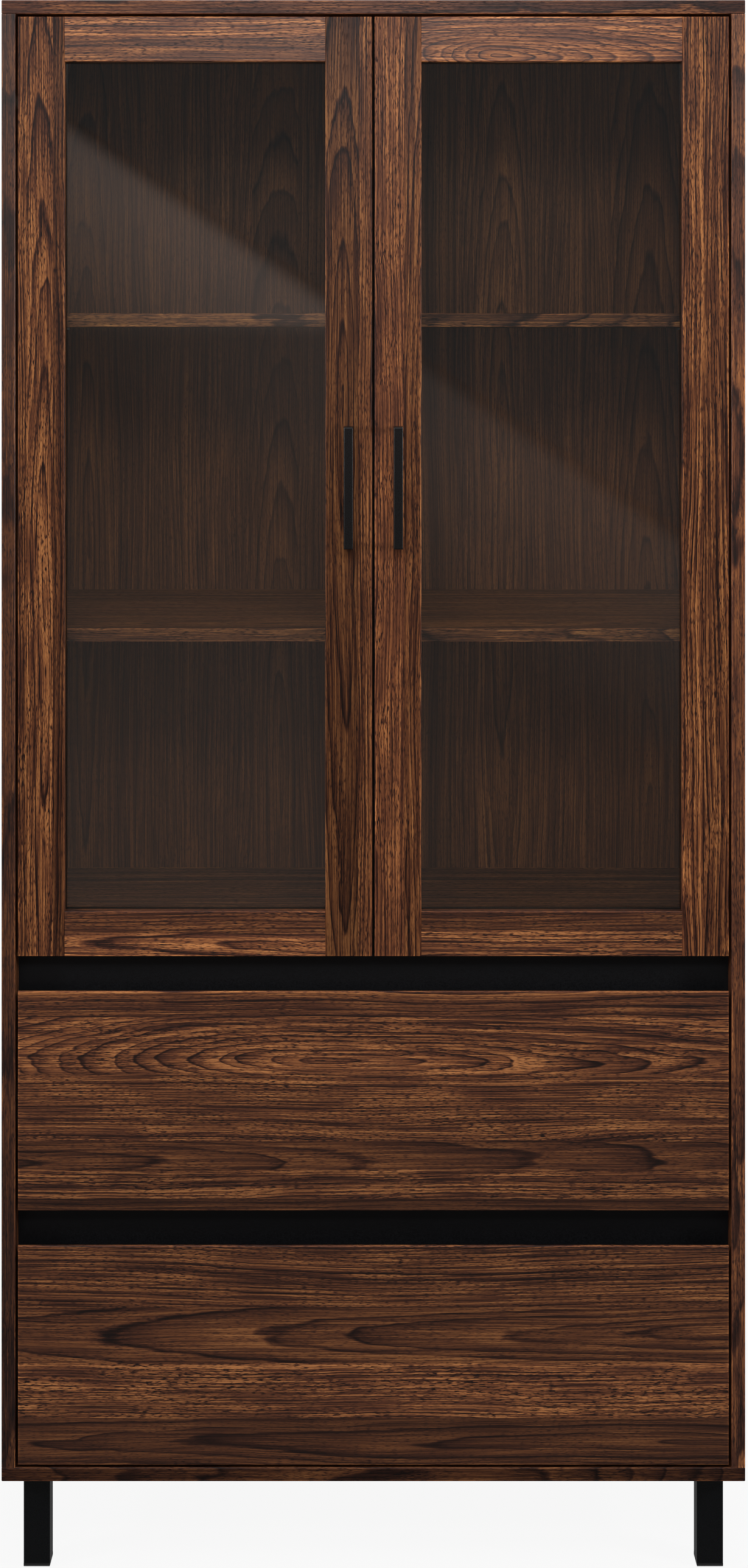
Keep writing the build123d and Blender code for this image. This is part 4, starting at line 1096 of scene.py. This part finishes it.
class CABINET_OT_studio(bpy.types.Operator):
    """Sets up floor, light and camera"""

    bl_idname = "cabinet.studio"
    bl_label = "Studio"

    def execute(self, context):
        studio = scene_part("cabinet_studio")
        context.scene.view_settings.view_transform = "Standard"
        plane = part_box("upper_drawer_front")[0].y - studio.distance
        add_camera(studio, plane)
        add_world(studio)
        add_floor(studio)
        for name, setting in LAMPS.items():
            add_lamp(f"{name} softbox", *setting, getattr(studio, name))
        add_dark_room(plane)
        add_mirrored_softbox(plane)
        return {"FINISHED"}


# Add-on


class CABINET_PT_sidebar(bpy.types.Panel):
    """Lists the cabinet's pieces and the studio"""

    bl_idname = "CABINET_PT_sidebar"
    bl_label = "China Cabinet"
    bl_space_type = "VIEW_3D"
    bl_region_type = "UI"
    bl_category = "Cabinet"

    def draw(self, context):
        for operator in OPERATORS:
            self.layout.operator(operator.bl_idname)


PROPERTIES = {
    "cabinet_walnut": WalnutFinish,
    "cabinet_hardware": HardwareFinish,
    "cabinet_glass": GlassFinish,
    "cabinet_studio": StudioSetup,
}
OPERATORS = (
    CABINET_OT_walnut_boards,
    CABINET_OT_black_boards,
    CABINET_OT_metalwork,
    CABINET_OT_glazing,
    CABINET_OT_gap_shade_seal,
    CABINET_OT_drawer_boxes,
    CABINET_OT_slides,
    CABINET_OT_hinges,
    CABINET_OT_screws,
    CABINET_OT_fittings,
    CABINET_OT_studio,
)


def register():
    """Makes the properties, the operators and the panel known."""
    for kind in (*PROPERTIES.values(), *OPERATORS, CABINET_PT_sidebar):
        bpy.utils.register_class(kind)
    for name, kind in PROPERTIES.items():
        setattr(bpy.types.Scene, name, bpy.props.PointerProperty(type=kind))


def unregister():
    """Takes them away again."""
    for name in PROPERTIES:
        delattr(bpy.types.Scene, name)
    for kind in (CABINET_PT_sidebar, *reversed(OPERATORS), *reversed(PROPERTIES.values())):
        bpy.utils.unregister_class(kind)


def main():
    """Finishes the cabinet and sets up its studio."""
    register()
    bpy.ops.cabinet.walnut_boards()
    bpy.ops.cabinet.black_boards()
    bpy.ops.cabinet.metalwork()
    bpy.ops.cabinet.glazing()
    bpy.ops.cabinet.dust_seal()
    bpy.ops.cabinet.drawer_boxes()
    bpy.ops.cabinet.slides()
    bpy.ops.cabinet.hinges()
    bpy.ops.cabinet.screws()
    bpy.ops.cabinet.fittings()
    bpy.ops.cabinet.studio()


if __name__ == "__main__":
    main()
